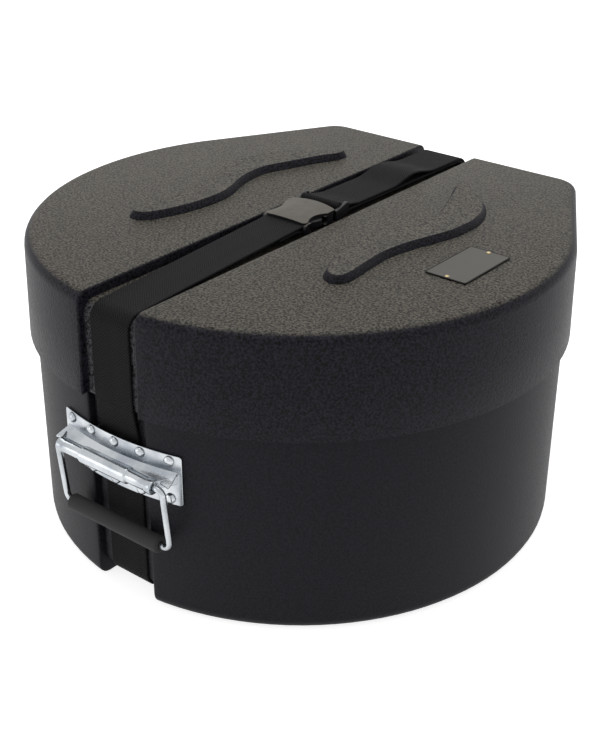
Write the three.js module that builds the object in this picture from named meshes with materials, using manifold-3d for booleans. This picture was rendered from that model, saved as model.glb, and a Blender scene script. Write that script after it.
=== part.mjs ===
import * as THREE from 'three';
import { mergeVertices } from 'three/addons/utils/BufferGeometryUtils.js';
import Module from 'manifold-3d';

const wasm = await Module();
wasm.setup();

// Drum case, in millimetres: X across the case, Y from the handle to the flat back, Z up.
// The drum's axis is X = 0, Y = 0 while the pieces are made; the last group centres the case.

// Case outline and walls
const lidRadius = 225;
const backReach = 225.5;
const flankAngle = THREE.MathUtils.degToRad(29);
const cornerRadius = 25;
const caseHeight = 251;
const skirtDepth = 82;
const wall = 4.4;
const slideClearance = 1.2;
const lidDraft = 1.6;
const lidTopFillet = 8.6;
const lidInnerFillet = 2;
const rimRounding = 1.5;
const baseFillet = 10;

// Gaps and cutting
const seatGap = 0.3;
const overrun = 3;

// Strap channel
const channelDepth = 8.5;
const lidChannelHalf = 29;
const baseChannelHalf = 27.8;
const lidChannelRounding = 10;
const baseChannelRounding = 12;
const shoulderDrop = 6;

// Wave pads on the lid
const padHeight = 5;
const padBevel = 2.5;
const padRoot = 0.8;

// Foam
const foamThickness = 12;
const foamClearance = 0.3;
const wallPadTopGap = 12;
const sidePadAngle = THREE.MathUtils.degToRad(0);
const frontPadAngle = THREE.MathUtils.degToRad(-50);
const wallPadHalfAngle = THREE.MathUtils.degToRad(15);
const backPadNeckGap = 2;
const backPadCornerGap = 14.5;

// Webbing
const webWidth = 38;
const webThickness = 2;
const tailBulge = 5;
const tailBulgeHalf = 34;
const tailFlatLength = 48;
const tailDrop = 55;
const sewnLength = 34;
const sewnRampLength = 9;

// Handle plate and barrel
const plateHalfLength = 60.2;
const plateHeight = 42;
const plateRimGap = 25.5;
const plateCorner = 5;
const sheet = 1.5;
const barrelStandoff = 2.4;
const barrelThickRadius = 6.6;
const barrelThinRadius = 5.2;
const barrelKnuckleRadius = 5.9;
const barrelThickHalf = 24;
const barrelInset = 10.7;
const knuckleLength = 6;
const barrelTaper = 1.6;
const barrelBoreRadius = 3.1;
const earInset = 2.7;
const lowerWebInset = 9.5;

// Rivets: three of each row pass through the channel's floor, two through the wall
const rivetChannelEdge = 2.4;
const rivetPlateEdge = 9.4;
const rivetRowEdge = 5;
const rivetHeadRadius = 4.3;
const rivetHeadHeight = 2.2;
const rivetShankRadius = 1.9;
const rivetTailRadius = 2.9;
const rivetTailLength = 1.6;
const backingThickness = 1.4;
const backingHeight = 12;
const backingEnd = 7;
const backingCorner = 2;
const washerRadius = 5.5;

// Bail, grip and spring
const wireRadius = 2.6;
const bailLegClearance = 2.9;
const bailReach = 54.5;
const bailTopBend = 5;
const bailGripBend = 7;
const bailTipX = 12;
const gripRadius = 6.7;
const gripBore = 2.9;
const gripEndRounding = 1.2;
const gripEndClearance = 0.5;
const springWireRadius = 0.5;
const springTurns = 14;
const springEndClearance = 1.2;
const springWallClearance = 0.3;

// Label plate on the lid
const labelEdgeGap = 64.2;
const labelWidth = 36.5;
const labelLength = 64.5;
const labelThickness = 0.8;
const labelCorner = 2;
const labelRivetEdge = 3.2;
const labelRivetHeadRadius = 1.9;
const labelRivetHeadHeight = 0.8;
const labelRivetShankRadius = 1;

// Side-release buckle, female body
const buckleLift = 3.2;
const femaleSide = 3.3;
const femaleFrontY = -21.5;
const femaleBackY = 14;
const femaleHeight = 12;
const femaleWall = 2.2;
const femaleCrown = 2;
const femaleBackBulge = 3;
const scallopDepth = 2.6;
const scallopSetback = 11.5;
const scallopMouthGap = 8;
const femaleCorner = 2.5;
const socketSide = 3.2;
const socketEndWall = 2.3;
const webPocketLength = 9.2;
const sewnBarSetback = 4.9;
const sewnBarRadius = 1.6;
const sewnBarRise = 4.5;
const hoodThickness = 2.2;

// Side-release buckle, plug frame and prongs
const plugSideStep = 0.5;
const plugLength = 14.8;
const plugFaceThickness = 2.4;
const plugRail = 2.2;
const plugHeight = 10;
const plugCorner = 1.5;
const plugRearRise = 3.4;
const plugRearLift = 5;
const ladderBarSetback = 6.7;
const ladderBarRadius = 1.7;
const ladderBarRise = 9.3;
const rearBarInset = 2.2;
const rearBarRadius = 1.3;
const rearBarRise = 6.8;
const tongueHalf = 6.5;
const tongueLength = 19;
const tongueHeight = 2.4;
const prongHeight = 5.6;
const prongRootInset = 5.2;
const prongRootRadius = 2.7;
const prongArm = 3.6;
const prongReach = 21.6;
const prongPadBulge = 3.2;
const barbDepth = 2;

// Facets
const drumArcSteps = 44;
const cornerArcSteps = 5;
const filletSteps = 3;
const roundSteps = 10;
const bendSteps = 6;
const tailSteps = 14;
const padOutlineSteps = 44;
const bailSteps = 84;
const bailSides = 8;
const springStepsPerTurn = 8;
const springSides = 5;

// Worked out from the sizes above
const quarterTurn = Math.PI / 2;
const halfTurn = Math.PI;
const fullTurn = Math.PI * 2;
const rimZ = caseHeight - skirtDepth;
const baseInset = wall + slideClearance;
const baseRadius = lidRadius - baseInset;
const baseBack = backReach - baseInset;
const baseTopZ = caseHeight - wall - seatGap;
const lidFloorZ = caseHeight - channelDepth;
const lidFrontFloor = lidRadius - channelDepth;
const lidBackFloor = backReach - channelDepth;
const baseFrontFloor = baseRadius - channelDepth;
const baseBackFloor = baseBack - channelDepth;
const neckHalf = lidChannelHalf + wall + slideClearance;
const neckTopZ = lidFloorZ - wall - slideClearance;
const neckRounding = lidChannelRounding - wall - slideClearance;
const shoulderZ = rimZ - shoulderDrop;
const cornerCentreY = backReach - cornerRadius;
const cornerReach = lidRadius - cornerRadius - cornerCentreY * Math.sin(flankAngle);
const cornerCentreX = cornerReach / Math.cos(flankAngle);
const webHalf = webThickness / 2;
const webOffset = seatGap + webHalf;
const layerPitch = webThickness + seatGap;
const plateCentreZ = rimZ - plateRimGap - plateHeight / 2;
const barrelHalf = plateHalfLength - barrelInset;
const earHalf = plateHalfLength - earInset;
const lowerWebHalf = barrelHalf - lowerWebInset;
const bailLegX = barrelHalf + bailLegClearance + wireRadius;
const labelX = lidRadius - labelEdgeGap;
const tailBulgeY = lidBackFloor - tailFlatLength - tailBulgeHalf;
const femaleHalf = webWidth / 2 + femaleSide;
const socketHalf = femaleHalf - socketSide;
const sewnBarY = femaleFrontY + sewnBarSetback;
const webPocketBackY = femaleFrontY + webPocketLength;
const socketFrontY = webPocketBackY + socketEndWall;
const scallopFrontY = femaleFrontY + scallopSetback;
const scallopBackY = femaleBackY - scallopMouthGap;
const plugHalf = femaleHalf - plugSideStep;
const plugFaceY = femaleBackY + femaleBackBulge + seatGap;
const plugBackY = plugFaceY + plugLength;
const ladderBarY = plugFaceY + ladderBarSetback;
const rearBarY = plugBackY - rearBarInset;
const prongPivotX = socketHalf - prongRootInset;
const prongPivotY = plugFaceY - prongRootRadius;

// Materials
const shellPlastic = new THREE.MeshStandardMaterial({ color: 0x2b2b2e, roughness: 0.62, metalness: 0 });
const lidPlastic = new THREE.MeshStandardMaterial({ color: 0x35342f, roughness: 0.55, metalness: 0 });
const foam = new THREE.MeshStandardMaterial({ color: 0x1d1d1f, roughness: 0.95, metalness: 0 });
const webbing = new THREE.MeshStandardMaterial({ color: 0x17171a, roughness: 0.85, metalness: 0 });
const bucklePlastic = new THREE.MeshStandardMaterial({ color: 0x1c1c1e, roughness: 0.4, metalness: 0 });
const zincSteel = new THREE.MeshStandardMaterial({ color: 0xc9ccd0, roughness: 0.28, metalness: 1 });
const springSteel = new THREE.MeshStandardMaterial({ color: 0x8d9094, roughness: 0.35, metalness: 1 });
const rubber = new THREE.MeshStandardMaterial({ color: 0x1a1a1c, roughness: 0.6, metalness: 0 });
const labelPaint = new THREE.MeshStandardMaterial({ color: 0x4a4944, roughness: 0.45, metalness: 0 });
const rivetBrass = new THREE.MeshStandardMaterial({ color: 0xb5a578, roughness: 0.35, metalness: 1 });

// Solids: closed geometry goes to the boolean library and comes back as geometry
function toSolid(geometry) {
  const bare = geometry.clone();
  for (const name of Object.keys(bare.attributes)) {
    if (name !== 'position') bare.deleteAttribute(name);
  }
  const merged = mergeVertices(bare);
  const corners = merged.index.array;
  const kept = [];
  for (let i = 0; i < corners.length; i += 3) {
    const [a, b, c] = [corners[i], corners[i + 1], corners[i + 2]];
    if (a !== b && b !== c && c !== a) kept.push(a, b, c);
  }
  const vertProperties = merged.attributes.position.array;
  return new wasm.Manifold(new wasm.Mesh({ numProp: 3, vertProperties, triVerts: new Uint32Array(kept) }));
}

function toGeometry(solid) {
  const mesh = solid.getMesh();
  const geometry = new THREE.BufferGeometry();
  geometry.setAttribute('position', new THREE.BufferAttribute(mesh.vertProperties, 3));
  geometry.setIndex(new THREE.BufferAttribute(mesh.triVerts, 1));
  geometry.computeVertexNormals();
  return geometry;
}

function joined(solids) {
  return solids.reduce((whole, solid) => whole.add(solid));
}

function cutBy(solid, cutters) {
  return cutters.reduce((whole, cutter) => whole.subtract(cutter), solid);
}

function placed(geometry, matrix) {
  return toSolid(geometry.applyMatrix4(matrix));
}

// Prisms: an outline pushed along one axis of the case
const alongX = new THREE.Matrix4().makeBasis(
  new THREE.Vector3(0, 1, 0), new THREE.Vector3(0, 0, 1), new THREE.Vector3(1, 0, 0));
const alongY = new THREE.Matrix4().makeBasis(
  new THREE.Vector3(1, 0, 0), new THREE.Vector3(0, 0, 1), new THREE.Vector3(0, -1, 0));

function extruded(points, depth) {
  return new THREE.ExtrudeGeometry(new THREE.Shape(points), { depth, bevelEnabled: false });
}

// Outline in Y and Z, from X = low to X = high
function prismX(points, low, high) {
  return placed(extruded(points, high - low).translate(0, 0, low), alongX);
}

// Outline in X and Z, from Y = low to Y = high
function prismY(points, low, high) {
  return placed(extruded(points, high - low).translate(0, 0, -high), alongY);
}

// Outline in X and Y, from Z = low to Z = high
function prismZ(points, low, high) {
  return toSolid(extruded(points, high - low).translate(0, 0, low));
}

function arc(centreX, centreY, radius, from, to, steps) {
  const points = [];
  for (let step = 0; step <= steps; step += 1) {
    const angle = THREE.MathUtils.lerp(from, to, step / steps);
    points.push(new THREE.Vector2(centreX + radius * Math.cos(angle), centreY + radius * Math.sin(angle)));
  }
  return points;
}

function rectangle(left, bottom, right, top) {
  return [
    new THREE.Vector2(left, bottom),
    new THREE.Vector2(right, bottom),
    new THREE.Vector2(right, top),
    new THREE.Vector2(left, top),
  ];
}

function roundedRectangle(left, bottom, right, top, radius) {
  return [
    ...arc(left + radius, bottom + radius, radius, halfTurn, halfTurn + quarterTurn, filletSteps),
    ...arc(right - radius, bottom + radius, radius, -quarterTurn, 0, filletSteps),
    ...arc(right - radius, top - radius, radius, 0, quarterTurn, filletSteps),
    ...arc(left + radius, top - radius, radius, quarterTurn, halfTurn, filletSteps),
  ];
}

function disc(centreX, centreY, radius, steps = roundSteps) {
  return arc(centreX, centreY, radius, 0, fullTurn * (1 - 1 / steps), steps - 1);
}

// Turned pieces: a profile of [radius, height] pairs spun about an axis
function turned(profile, segments = roundSteps) {
  const points = profile.map(([radius, height]) => new THREE.Vector2(radius, height));
  return new THREE.LatheGeometry(points, segments);
}

const spinToX = new THREE.Matrix4().makeBasis(
  new THREE.Vector3(0, -1, 0), new THREE.Vector3(1, 0, 0), new THREE.Vector3(0, 0, 1));
const spinToZ = new THREE.Matrix4().makeBasis(
  new THREE.Vector3(1, 0, 0), new THREE.Vector3(0, 0, 1), new THREE.Vector3(0, -1, 0));

// Case outline, moved in from the lid's outer wall: two back corners and the round drum wall
function caseOutline(inset) {
  const cornerInset = cornerRadius - inset;
  return [
    ...arc(cornerCentreX, cornerCentreY, cornerInset, flankAngle, quarterTurn, cornerArcSteps),
    ...arc(-cornerCentreX, cornerCentreY, cornerInset, quarterTurn, halfTurn - flankAngle, cornerArcSteps),
    ...arc(0, 0, lidRadius - inset, halfTurn - flankAngle, fullTurn + flankAngle, drumArcSteps),
  ];
}

// Loft through case outlines, each level given as [inset, height] from the bottom up
function loft(levels) {
  const ringAt = ([inset, height]) => caseOutline(inset).map((point) => [point.x, point.y, height]);
  const rings = levels.map(ringAt);
  const count = rings[0].length;
  const positions = rings.flat(2);
  const bottomCentre = rings.length * count;
  const topCentre = bottomCentre + 1;
  positions.push(0, 0, levels[0][1], 0, 0, levels[levels.length - 1][1]);
  const faces = [];
  for (let ring = 0; ring < rings.length; ring += 1) {
    for (let i = 0; i < count; i += 1) {
      const here = ring * count + i;
      const next = ring * count + (i + 1) % count;
      if (ring === 0) faces.push(bottomCentre, next, here);
      if (ring === rings.length - 1) faces.push(topCentre, here, next);
      if (ring < rings.length - 1) faces.push(here, next, next + count, here, next + count, here + count);
    }
  }
  const geometry = new THREE.BufferGeometry();
  geometry.setAttribute('position', new THREE.Float32BufferAttribute(positions, 3));
  geometry.setIndex(faces);
  return toSolid(geometry);
}

function bottomRound(inset, height, radius) {
  return arc(inset + radius, height + radius, radius, -quarterTurn, -halfTurn, filletSteps)
    .map((point) => [point.x, point.y]);
}

function topRound(inset, height, radius) {
  return arc(inset + radius, height - radius, radius, halfTurn, quarterTurn, filletSteps)
    .map((point) => [point.x, point.y]);
}

// Channel cutter: all that lies outside a block with two rounded corners, within a width.
// The block runs in Y from -front to back, and in Z from near to far.
function channelCutter(half, front, back, near, far, rounding) {
  const side = Math.sign(far - near);
  const reach = channelDepth + wall + overrun + padHeight;
  const bendZ = far - side * rounding;
  const turn = side * quarterTurn;
  const block = [
    new THREE.Vector2(-front, near - side * overrun),
    ...arc(-front + rounding, bendZ, rounding, halfTurn, halfTurn - turn, bendSteps),
    ...arc(back - rounding, bendZ, rounding, turn, 0, bendSteps),
    new THREE.Vector2(back, near - side * overrun),
  ];
  const slab = rectangle(-front - reach, Math.min(near, far + side * reach),
    back + reach, Math.max(near, far + side * reach));
  return prismX(slab, -half, half).subtract(prismX(block, -half - overrun, half + overrun));
}

// Radial places on the curved front wall: local Y points straight out of the wall
function radialPlace(arcLength, radius, height) {
  const angle = arcLength / baseRadius;
  const outward = new THREE.Vector3(Math.sin(angle), -Math.cos(angle), 0);
  const tangent = new THREE.Vector3(Math.cos(angle), Math.sin(angle), 0);
  const down = new THREE.Vector3().crossVectors(tangent, outward);
  return new THREE.Matrix4().makeBasis(tangent, outward, down)
    .setPosition(outward.x * radius, outward.y * radius, height);
}

// Handle: plate seat, rivet rows and barrel axis
const plateInner = baseRadius + seatGap;
const plateOuter = plateInner + sheet;
const barrelY = -(plateOuter + barrelStandoff + barrelThickRadius);
const barrelZ = plateCentreZ;
const rivetRowRise = plateHeight / 2 - rivetRowEdge;
const rivetRows = [plateCentreZ + rivetRowRise, plateCentreZ - rivetRowRise];
const innerRivet = baseChannelHalf - rivetChannelEdge;
const outerRivet = plateHalfLength - rivetPlateEdge;
const rivetPlaces = [
  { arcLength: -outerRivet, throughChannel: false },
  { arcLength: -innerRivet, throughChannel: true },
  { arcLength: 0, throughChannel: true },
  { arcLength: innerRivet, throughChannel: true },
  { arcLength: outerRivet, throughChannel: false },
];
const channelInnerFace = baseFrontFloor - wall;
const wallInnerFace = baseRadius - wall;

function rivetHole(place, height) {
  const radius = rivetShankRadius + seatGap;
  const length = plateOuter - channelInnerFace + overrun * 2 + backingThickness;
  const hole = new THREE.CylinderGeometry(radius, radius, length, roundSteps);
  return placed(hole, radialPlace(place.arcLength, plateOuter + overrun - length / 2, height));
}

const rivetHoles = rivetRows.flatMap((height) => rivetPlaces.map((place) => rivetHole(place, height)));

// Radius from the drum's axis at which a rivet's tail starts
function tailStart(place) {
  const tilt = Math.abs(place.arcLength) / baseRadius;
  const seat = place.throughChannel
    ? (channelInnerFace - backingThickness - seatGap * 2) / Math.cos(tilt)
    : wallInnerFace - backingThickness - seatGap * 2;
  return seat - rivetTailRadius * Math.tan(place.throughChannel ? tilt : 0);
}

function rivet(place, height) {
  const headSeat = plateOuter + seatGap;
  const tail = tailStart(place) - headSeat;
  const domeSpan = Math.atan2(rivetHeadHeight, rivetHeadRadius) * 2;
  const domeRadius = rivetHeadRadius / Math.sin(domeSpan);
  const domeCentre = rivetHeadHeight - domeRadius;
  const dome = arc(0, domeCentre, domeRadius, quarterTurn - domeSpan, quarterTurn, filletSteps);
  const profile = [
    [0, tail - rivetTailLength],
    [rivetTailRadius, tail - rivetTailLength],
    [rivetTailRadius, tail],
    [rivetShankRadius, tail],
    [rivetShankRadius, 0],
    ...dome.slice(0, -1).map((point) => [point.x, point.y]),
    [0, rivetHeadHeight],
  ];
  return placed(turned(profile), radialPlace(place.arcLength, headSeat, height));
}

function backingStrip(height) {
  const half = innerRivet * (channelInnerFace / baseRadius) + backingEnd;
  const rise = backingHeight / 2;
  const outline = roundedRectangle(-half, height - rise, half, height + rise, backingCorner);
  const seat = -(channelInnerFace - seatGap);
  return cutBy(prismY(outline, seat, seat + backingThickness), rivetHoles);
}

function backingWasher(place, height) {
  const bore = rivetShankRadius + seatGap;
  const profile = [
    [bore, 0],
    [washerRadius, 0],
    [washerRadius, backingThickness],
    [bore, backingThickness],
    [bore, 0],
  ];
  const seat = wallInnerFace - seatGap - backingThickness;
  return placed(turned(profile), radialPlace(place.arcLength, seat, height));
}

// Base shell: floor and wall, a neck inside the lid, and the channel under the strap
function baseShell() {
  const outer = loft([
    ...bottomRound(baseInset, 0, baseFillet),
    [baseInset, rimZ],
    ...topRound(baseInset + lidDraft, baseTopZ, rimRounding),
  ]);
  const inner = loft([
    ...bottomRound(baseInset + wall, wall, baseFillet - wall),
    [baseInset + wall, rimZ],
    [baseInset + wall + lidDraft, baseTopZ + overrun],
  ]);
  const channel = channelCutter(baseChannelHalf, baseFrontFloor, baseBackFloor,
    caseHeight, channelDepth, baseChannelRounding);
  const channelBack = channelCutter(baseChannelHalf + wall, baseFrontFloor - wall, baseBackFloor - wall,
    caseHeight, channelDepth + wall, baseChannelRounding - wall);
  const neck = channelCutter(neckHalf, baseFrontFloor, baseBackFloor, shoulderZ, neckTopZ, neckRounding);
  const neckBack = channelCutter(neckHalf + wall, baseFrontFloor - wall, baseBackFloor - wall,
    shoulderZ - wall, caseHeight + overrun + rimRounding, rimRounding);
  const cavity = cutBy(inner, [channelBack, neckBack]);
  return cutBy(outer, [channel, neck, cavity, ...rivetHoles]);
}

// Raised wave pads, right one of a mirrored pair, as shares of the lid's radius
const padOutlineShares = [
  [0.436, -0.415], [0.366, -0.245], [0.347, -0.11], [0.373, 0.067], [0.41, 0.22],
  [0.405, 0.355], [0.345, 0.5], [0.29, 0.618], [0.318, 0.622], [0.432, 0.52],
  [0.52, 0.385], [0.545, 0.222], [0.505, -0.02], [0.478, -0.22], [0.47, -0.41],
];

function wavePad(side) {
  const corners = padOutlineShares.map(([x, y]) => {
    return new THREE.Vector3(side * x * lidRadius, y * lidRadius, 0);
  });
  const curve = new THREE.CatmullRomCurve3(corners, true, 'centripetal');
  const outline = curve.getSpacedPoints(padOutlineSteps).slice(0, -1);
  const shape = new THREE.Shape(outline.map((point) => new THREE.Vector2(point.x, point.y)));
  const depth = padHeight - padBevel + padRoot;
  const options = {
    depth, bevelThickness: padBevel, bevelSize: padBevel, bevelOffset: -padBevel, bevelSegments: 2,
  };
  const geometry = new THREE.ExtrudeGeometry(shape, options);
  return toSolid(geometry.translate(0, 0, caseHeight - padRoot));
}

function labelRivetY() {
  return labelLength / 2 - labelRivetEdge;
}

function labelHole(y) {
  const radius = labelRivetShankRadius + seatGap;
  const low = caseHeight - wall - overrun;
  const high = caseHeight + labelThickness + overrun;
  return prismZ(disc(labelX, y, radius), low, high);
}

const labelHoles = [labelHole(-labelRivetY()), labelHole(labelRivetY())];

// Lid shell: top and skirt, with the channel across it and the wave pads on top
function lidShell() {
  const outer = loft([
    ...bottomRound(0, rimZ, rimRounding),
    ...topRound(lidDraft, caseHeight, lidTopFillet),
  ]);
  const inner = loft([
    [wall, rimZ - overrun],
    ...topRound(wall + lidDraft, caseHeight - wall, lidInnerFillet),
  ]);
  const channel = channelCutter(lidChannelHalf, lidFrontFloor, lidBackFloor,
    rimZ - overrun, lidFloorZ, lidChannelRounding);
  const channelBack = channelCutter(lidChannelHalf + wall, lidFrontFloor - wall, lidBackFloor - wall,
    rimZ - overrun * 2, lidFloorZ - wall, lidChannelRounding - wall);
  const shell = cutBy(outer, [channel, inner.subtract(channelBack), ...labelHoles]);
  return joined([shell, wavePad(1), wavePad(-1)]);
}

// Foam
function floorPad(side) {
  const low = wall + foamClearance;
  const outline = loft([[baseInset + baseFillet, low], [baseInset + baseFillet, low + foamThickness]]);
  const near = baseChannelHalf + wall + foamClearance;
  return outline.intersect(halfSpace(side, near, low - overrun, low + foamThickness + overrun));
}

function halfSpace(side, near, low, high) {
  const far = lidRadius + overrun;
  const box = side > 0 ? rectangle(near, -far, far, far) : rectangle(-far, -far, -near, far);
  return prismZ(box, low, high);
}

function lidPad(side) {
  const high = caseHeight - wall - foamClearance;
  const inset = baseInset + wall + lidDraft + slideClearance;
  const outline = loft([[inset, high - foamThickness], [inset, high]]);
  const near = neckHalf + wall + foamClearance;
  return outline.intersect(halfSpace(side, near, high - foamThickness - overrun, high + overrun));
}

const wallPadLowZ = wall + foamThickness + foamClearance * 2;
const wallPadHighZ = caseHeight - wall - foamThickness - wallPadTopGap;

function curvedPad(centreAngle) {
  const outer = baseRadius - wall - lidDraft - foamClearance;
  const from = centreAngle - wallPadHalfAngle;
  const to = centreAngle + wallPadHalfAngle;
  const outline = [
    ...arc(0, 0, outer, from, to, bendSteps),
    ...arc(0, 0, outer - foamThickness, to, from, bendSteps),
  ];
  return prismZ(outline, wallPadLowZ, wallPadHighZ);
}

function backPad(side) {
  const face = baseBack - wall - lidDraft - foamClearance;
  const near = side * (neckHalf + wall + backPadNeckGap);
  const far = side * (cornerCentreX - backPadCornerGap);
  const outline = rectangle(Math.min(near, far), face - foamThickness, Math.max(near, far), face);
  return prismZ(outline, wallPadLowZ, wallPadHighZ);
}

// Webbing: a ribbon of even thickness along a centreline in Y and Z
function ribbon(centreline) {
  const upper = [];
  const lower = [];
  const runs = centreline.slice(1).map((point, i) => point.clone().sub(centreline[i]).normalize());
  centreline.forEach((point, i) => {
    const into = runs[Math.max(i - 1, 0)];
    const out = runs[Math.min(i, runs.length - 1)];
    const along = into.clone().add(out).normalize();
    const normal = new THREE.Vector2(-along.y, along.x);
    const spread = webHalf / along.dot(out);
    upper.push(point.clone().addScaledVector(normal, spread));
    lower.push(point.clone().addScaledVector(normal, -spread));
  });
  return prismX([...upper, ...lower.reverse()], -webWidth / 2, webWidth / 2);
}

// Below the seam: down the front, under the base and up the back
function strapLower() {
  const front = -(baseFrontFloor + webOffset);
  const back = baseBackFloor + webOffset;
  const low = channelDepth - webOffset;
  const bend = baseChannelRounding + webOffset;
  const seamZ = rimZ - seatGap;
  const stepZ = shoulderZ - (lidFrontFloor - baseFrontFloor) * 2;
  const centreline = [
    new THREE.Vector2(-(lidFrontFloor + webOffset), seamZ),
    new THREE.Vector2(front, stepZ),
    ...arc(front + bend, low + bend, bend, halfTurn, halfTurn + quarterTurn, bendSteps),
    ...arc(back - bend, low + bend, bend, -quarterTurn, 0, bendSteps),
    new THREE.Vector2(back, stepZ),
    new THREE.Vector2(lidBackFloor + webOffset, seamZ),
  ];
  return cutBy(ribbon(centreline), rivetHoles);
}

// Buckle heights above the channel floor
const buckleLowZ = lidFloorZ + buckleLift;
const buckleTopZ = buckleLowZ + femaleHeight;
const sewnBarZ = buckleLowZ + sewnBarRise;
const socketLowZ = buckleLowZ + femaleWall;
const socketHighZ = buckleTopZ - femaleCrown - femaleWall + hoodThickness / 2;
const prongLowZ = socketLowZ + seatGap;
const prongHighZ = prongLowZ + prongHeight;
const ladderBarZ = buckleLowZ + ladderBarRise;
const rearBarZ = buckleLowZ + rearBarRise;

// From the front seam over the lid, round the buckle's bar and back under itself
function strapFront() {
  const front = -(lidFrontFloor + webOffset);
  const high = lidFloorZ + webOffset;
  const bend = lidChannelRounding + webOffset;
  const wrap = sewnBarRadius + webOffset;
  const foldEnd = sewnBarY - sewnLength;
  const rampEnd = sewnBarY - wrap - sewnRampLength;
  const slope = (sewnBarZ + wrap - high) / (sewnBarY - front - bend);
  const under = (y) => new THREE.Vector2(y, high + (y - front - bend) * slope - layerPitch);
  const centreline = [
    new THREE.Vector2(front, rimZ + seatGap),
    ...arc(front + bend, high - bend, bend, halfTurn, quarterTurn, bendSteps),
    ...arc(sewnBarY, sewnBarZ, wrap, quarterTurn, -quarterTurn, bendSteps),
    under(rampEnd),
    under(foldEnd),
  ];
  return ribbon(centreline);
}

// From the rear seam to the ladder bar, round it, and back as the free tail
function strapRear() {
  const back = lidBackFloor + webOffset;
  const high = lidFloorZ + webOffset;
  const bend = lidChannelRounding + webOffset;
  const wrap = ladderBarRadius + webOffset;
  const underRear = rearBarZ - rearBarRadius - webOffset - seatGap;
  const overRear = rearBarZ + rearBarRadius + webOffset + seatGap;
  const slope = (underRear - high) / (back - bend - rearBarY);
  const tailAt = (y, lift) => new THREE.Vector2(y, high + (back - bend - y) * slope + layerPitch + lift);
  const bulge = [];
  for (let step = 0; step <= tailSteps; step += 1) {
    const turn = step / tailSteps * fullTurn;
    const lift = (1 - Math.cos(turn)) / 2 * tailBulge;
    const y = tailBulgeY + (step / tailSteps * 2 - 1) * tailBulgeHalf;
    bulge.push(tailAt(y, lift));
  }
  const centreline = [
    new THREE.Vector2(back, rimZ + seatGap),
    ...arc(back - bend, high - bend, bend, 0, quarterTurn, bendSteps),
    new THREE.Vector2(rearBarY, underRear),
    ...arc(ladderBarY, ladderBarZ, wrap, -quarterTurn, -quarterTurn - halfTurn, bendSteps),
    new THREE.Vector2(rearBarY, overRear),
    tailAt(plugBackY + sewnRampLength * 2, 0),
    ...bulge,
    ...arc(back - bend, high - bend, bend + layerPitch, quarterTurn, 0, bendSteps),
    new THREE.Vector2(back + layerPitch, lidFloorZ - tailDrop),
  ];
  return ribbon(centreline);
}

// Handle plate: curved flange, rolled barrel, webs between them and pointed stop ears
function barrelOutside() {
  const half = [
    [barrelThickRadius, barrelThickHalf],
    [barrelThinRadius, barrelThickHalf + barrelTaper],
    [barrelThinRadius, barrelHalf - knuckleLength - barrelTaper],
    [barrelKnuckleRadius, barrelHalf - knuckleLength],
    [barrelKnuckleRadius, barrelHalf],
  ];
  const mirrored = half.map(([radius, x]) => [radius, -x]).reverse();
  return [[0, -barrelHalf], ...mirrored, ...half, [0, barrelHalf]];
}

function barrelInside() {
  const bore = barrelThickRadius - sheet;
  const end = barrelHalf + overrun;
  const step = barrelThickHalf - sheet;
  return [
    [0, -end], [barrelBoreRadius, -end], [barrelBoreRadius, -step], [bore, -step],
    [bore, step], [barrelBoreRadius, step], [barrelBoreRadius, end], [0, end],
  ];
}

function webPlan(half, barrelEnd) {
  const middle = (plateInner + plateOuter) / 2;
  const angle = Math.asin(half / middle);
  return [
    new THREE.Vector2(-barrelEnd, barrelY),
    new THREE.Vector2(barrelEnd, barrelY),
    ...arc(0, 0, middle, -quarterTurn + angle, -quarterTurn - angle, bendSteps * 2),
  ];
}

function earWall(side) {
  const foot = -Math.sqrt(plateInner ** 2 - earHalf ** 2);
  const plan = [
    new THREE.Vector2(side * (barrelHalf - sheet), barrelY),
    new THREE.Vector2(side * barrelHalf, barrelY),
    new THREE.Vector2(side * earHalf, foot),
    new THREE.Vector2(side * (earHalf - sheet), foot),
  ];
  return prismZ(plan, barrelZ - barrelThinRadius / 2, barrelZ + barrelThinRadius);
}

function handlePlate() {
  const spread = Math.asin(plateHalfLength / plateInner) + sheet / plateInner;
  const band = [
    ...arc(0, 0, plateInner, -quarterTurn - spread, -quarterTurn + spread, drumArcSteps / 2),
    ...arc(0, 0, plateOuter, -quarterTurn + spread, -quarterTurn - spread, drumArcSteps / 2),
  ];
  const lowZ = plateCentreZ - plateHeight / 2;
  const highZ = plateCentreZ + plateHeight / 2;
  const face = roundedRectangle(-plateHalfLength, lowZ, plateHalfLength, highZ, plateCorner);
  const flange = prismZ(band, lowZ - overrun, highZ + overrun)
    .intersect(prismY(face, -plateOuter - overrun, 0));
  const upperWebZ = barrelZ + barrelThinRadius - sheet;
  const lowerWebZ = barrelZ - barrelThinRadius;
  const upperWeb = prismZ(webPlan(earHalf, barrelHalf), upperWebZ, upperWebZ + sheet);
  const lowerWeb = prismZ(webPlan(lowerWebHalf, lowerWebHalf), lowerWebZ, lowerWebZ + sheet);
  const axis = spinToX.clone().setPosition(0, barrelY, barrelZ);
  const barrel = placed(turned(barrelOutside(), roundSteps * 2), axis);
  const bore = placed(turned(barrelInside(), roundSteps * 2), axis);
  const formed = joined([flange, upperWeb, lowerWeb, barrel, earWall(1), earWall(-1)]);
  return cutBy(formed, [bore, ...rivetHoles]);
}

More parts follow.
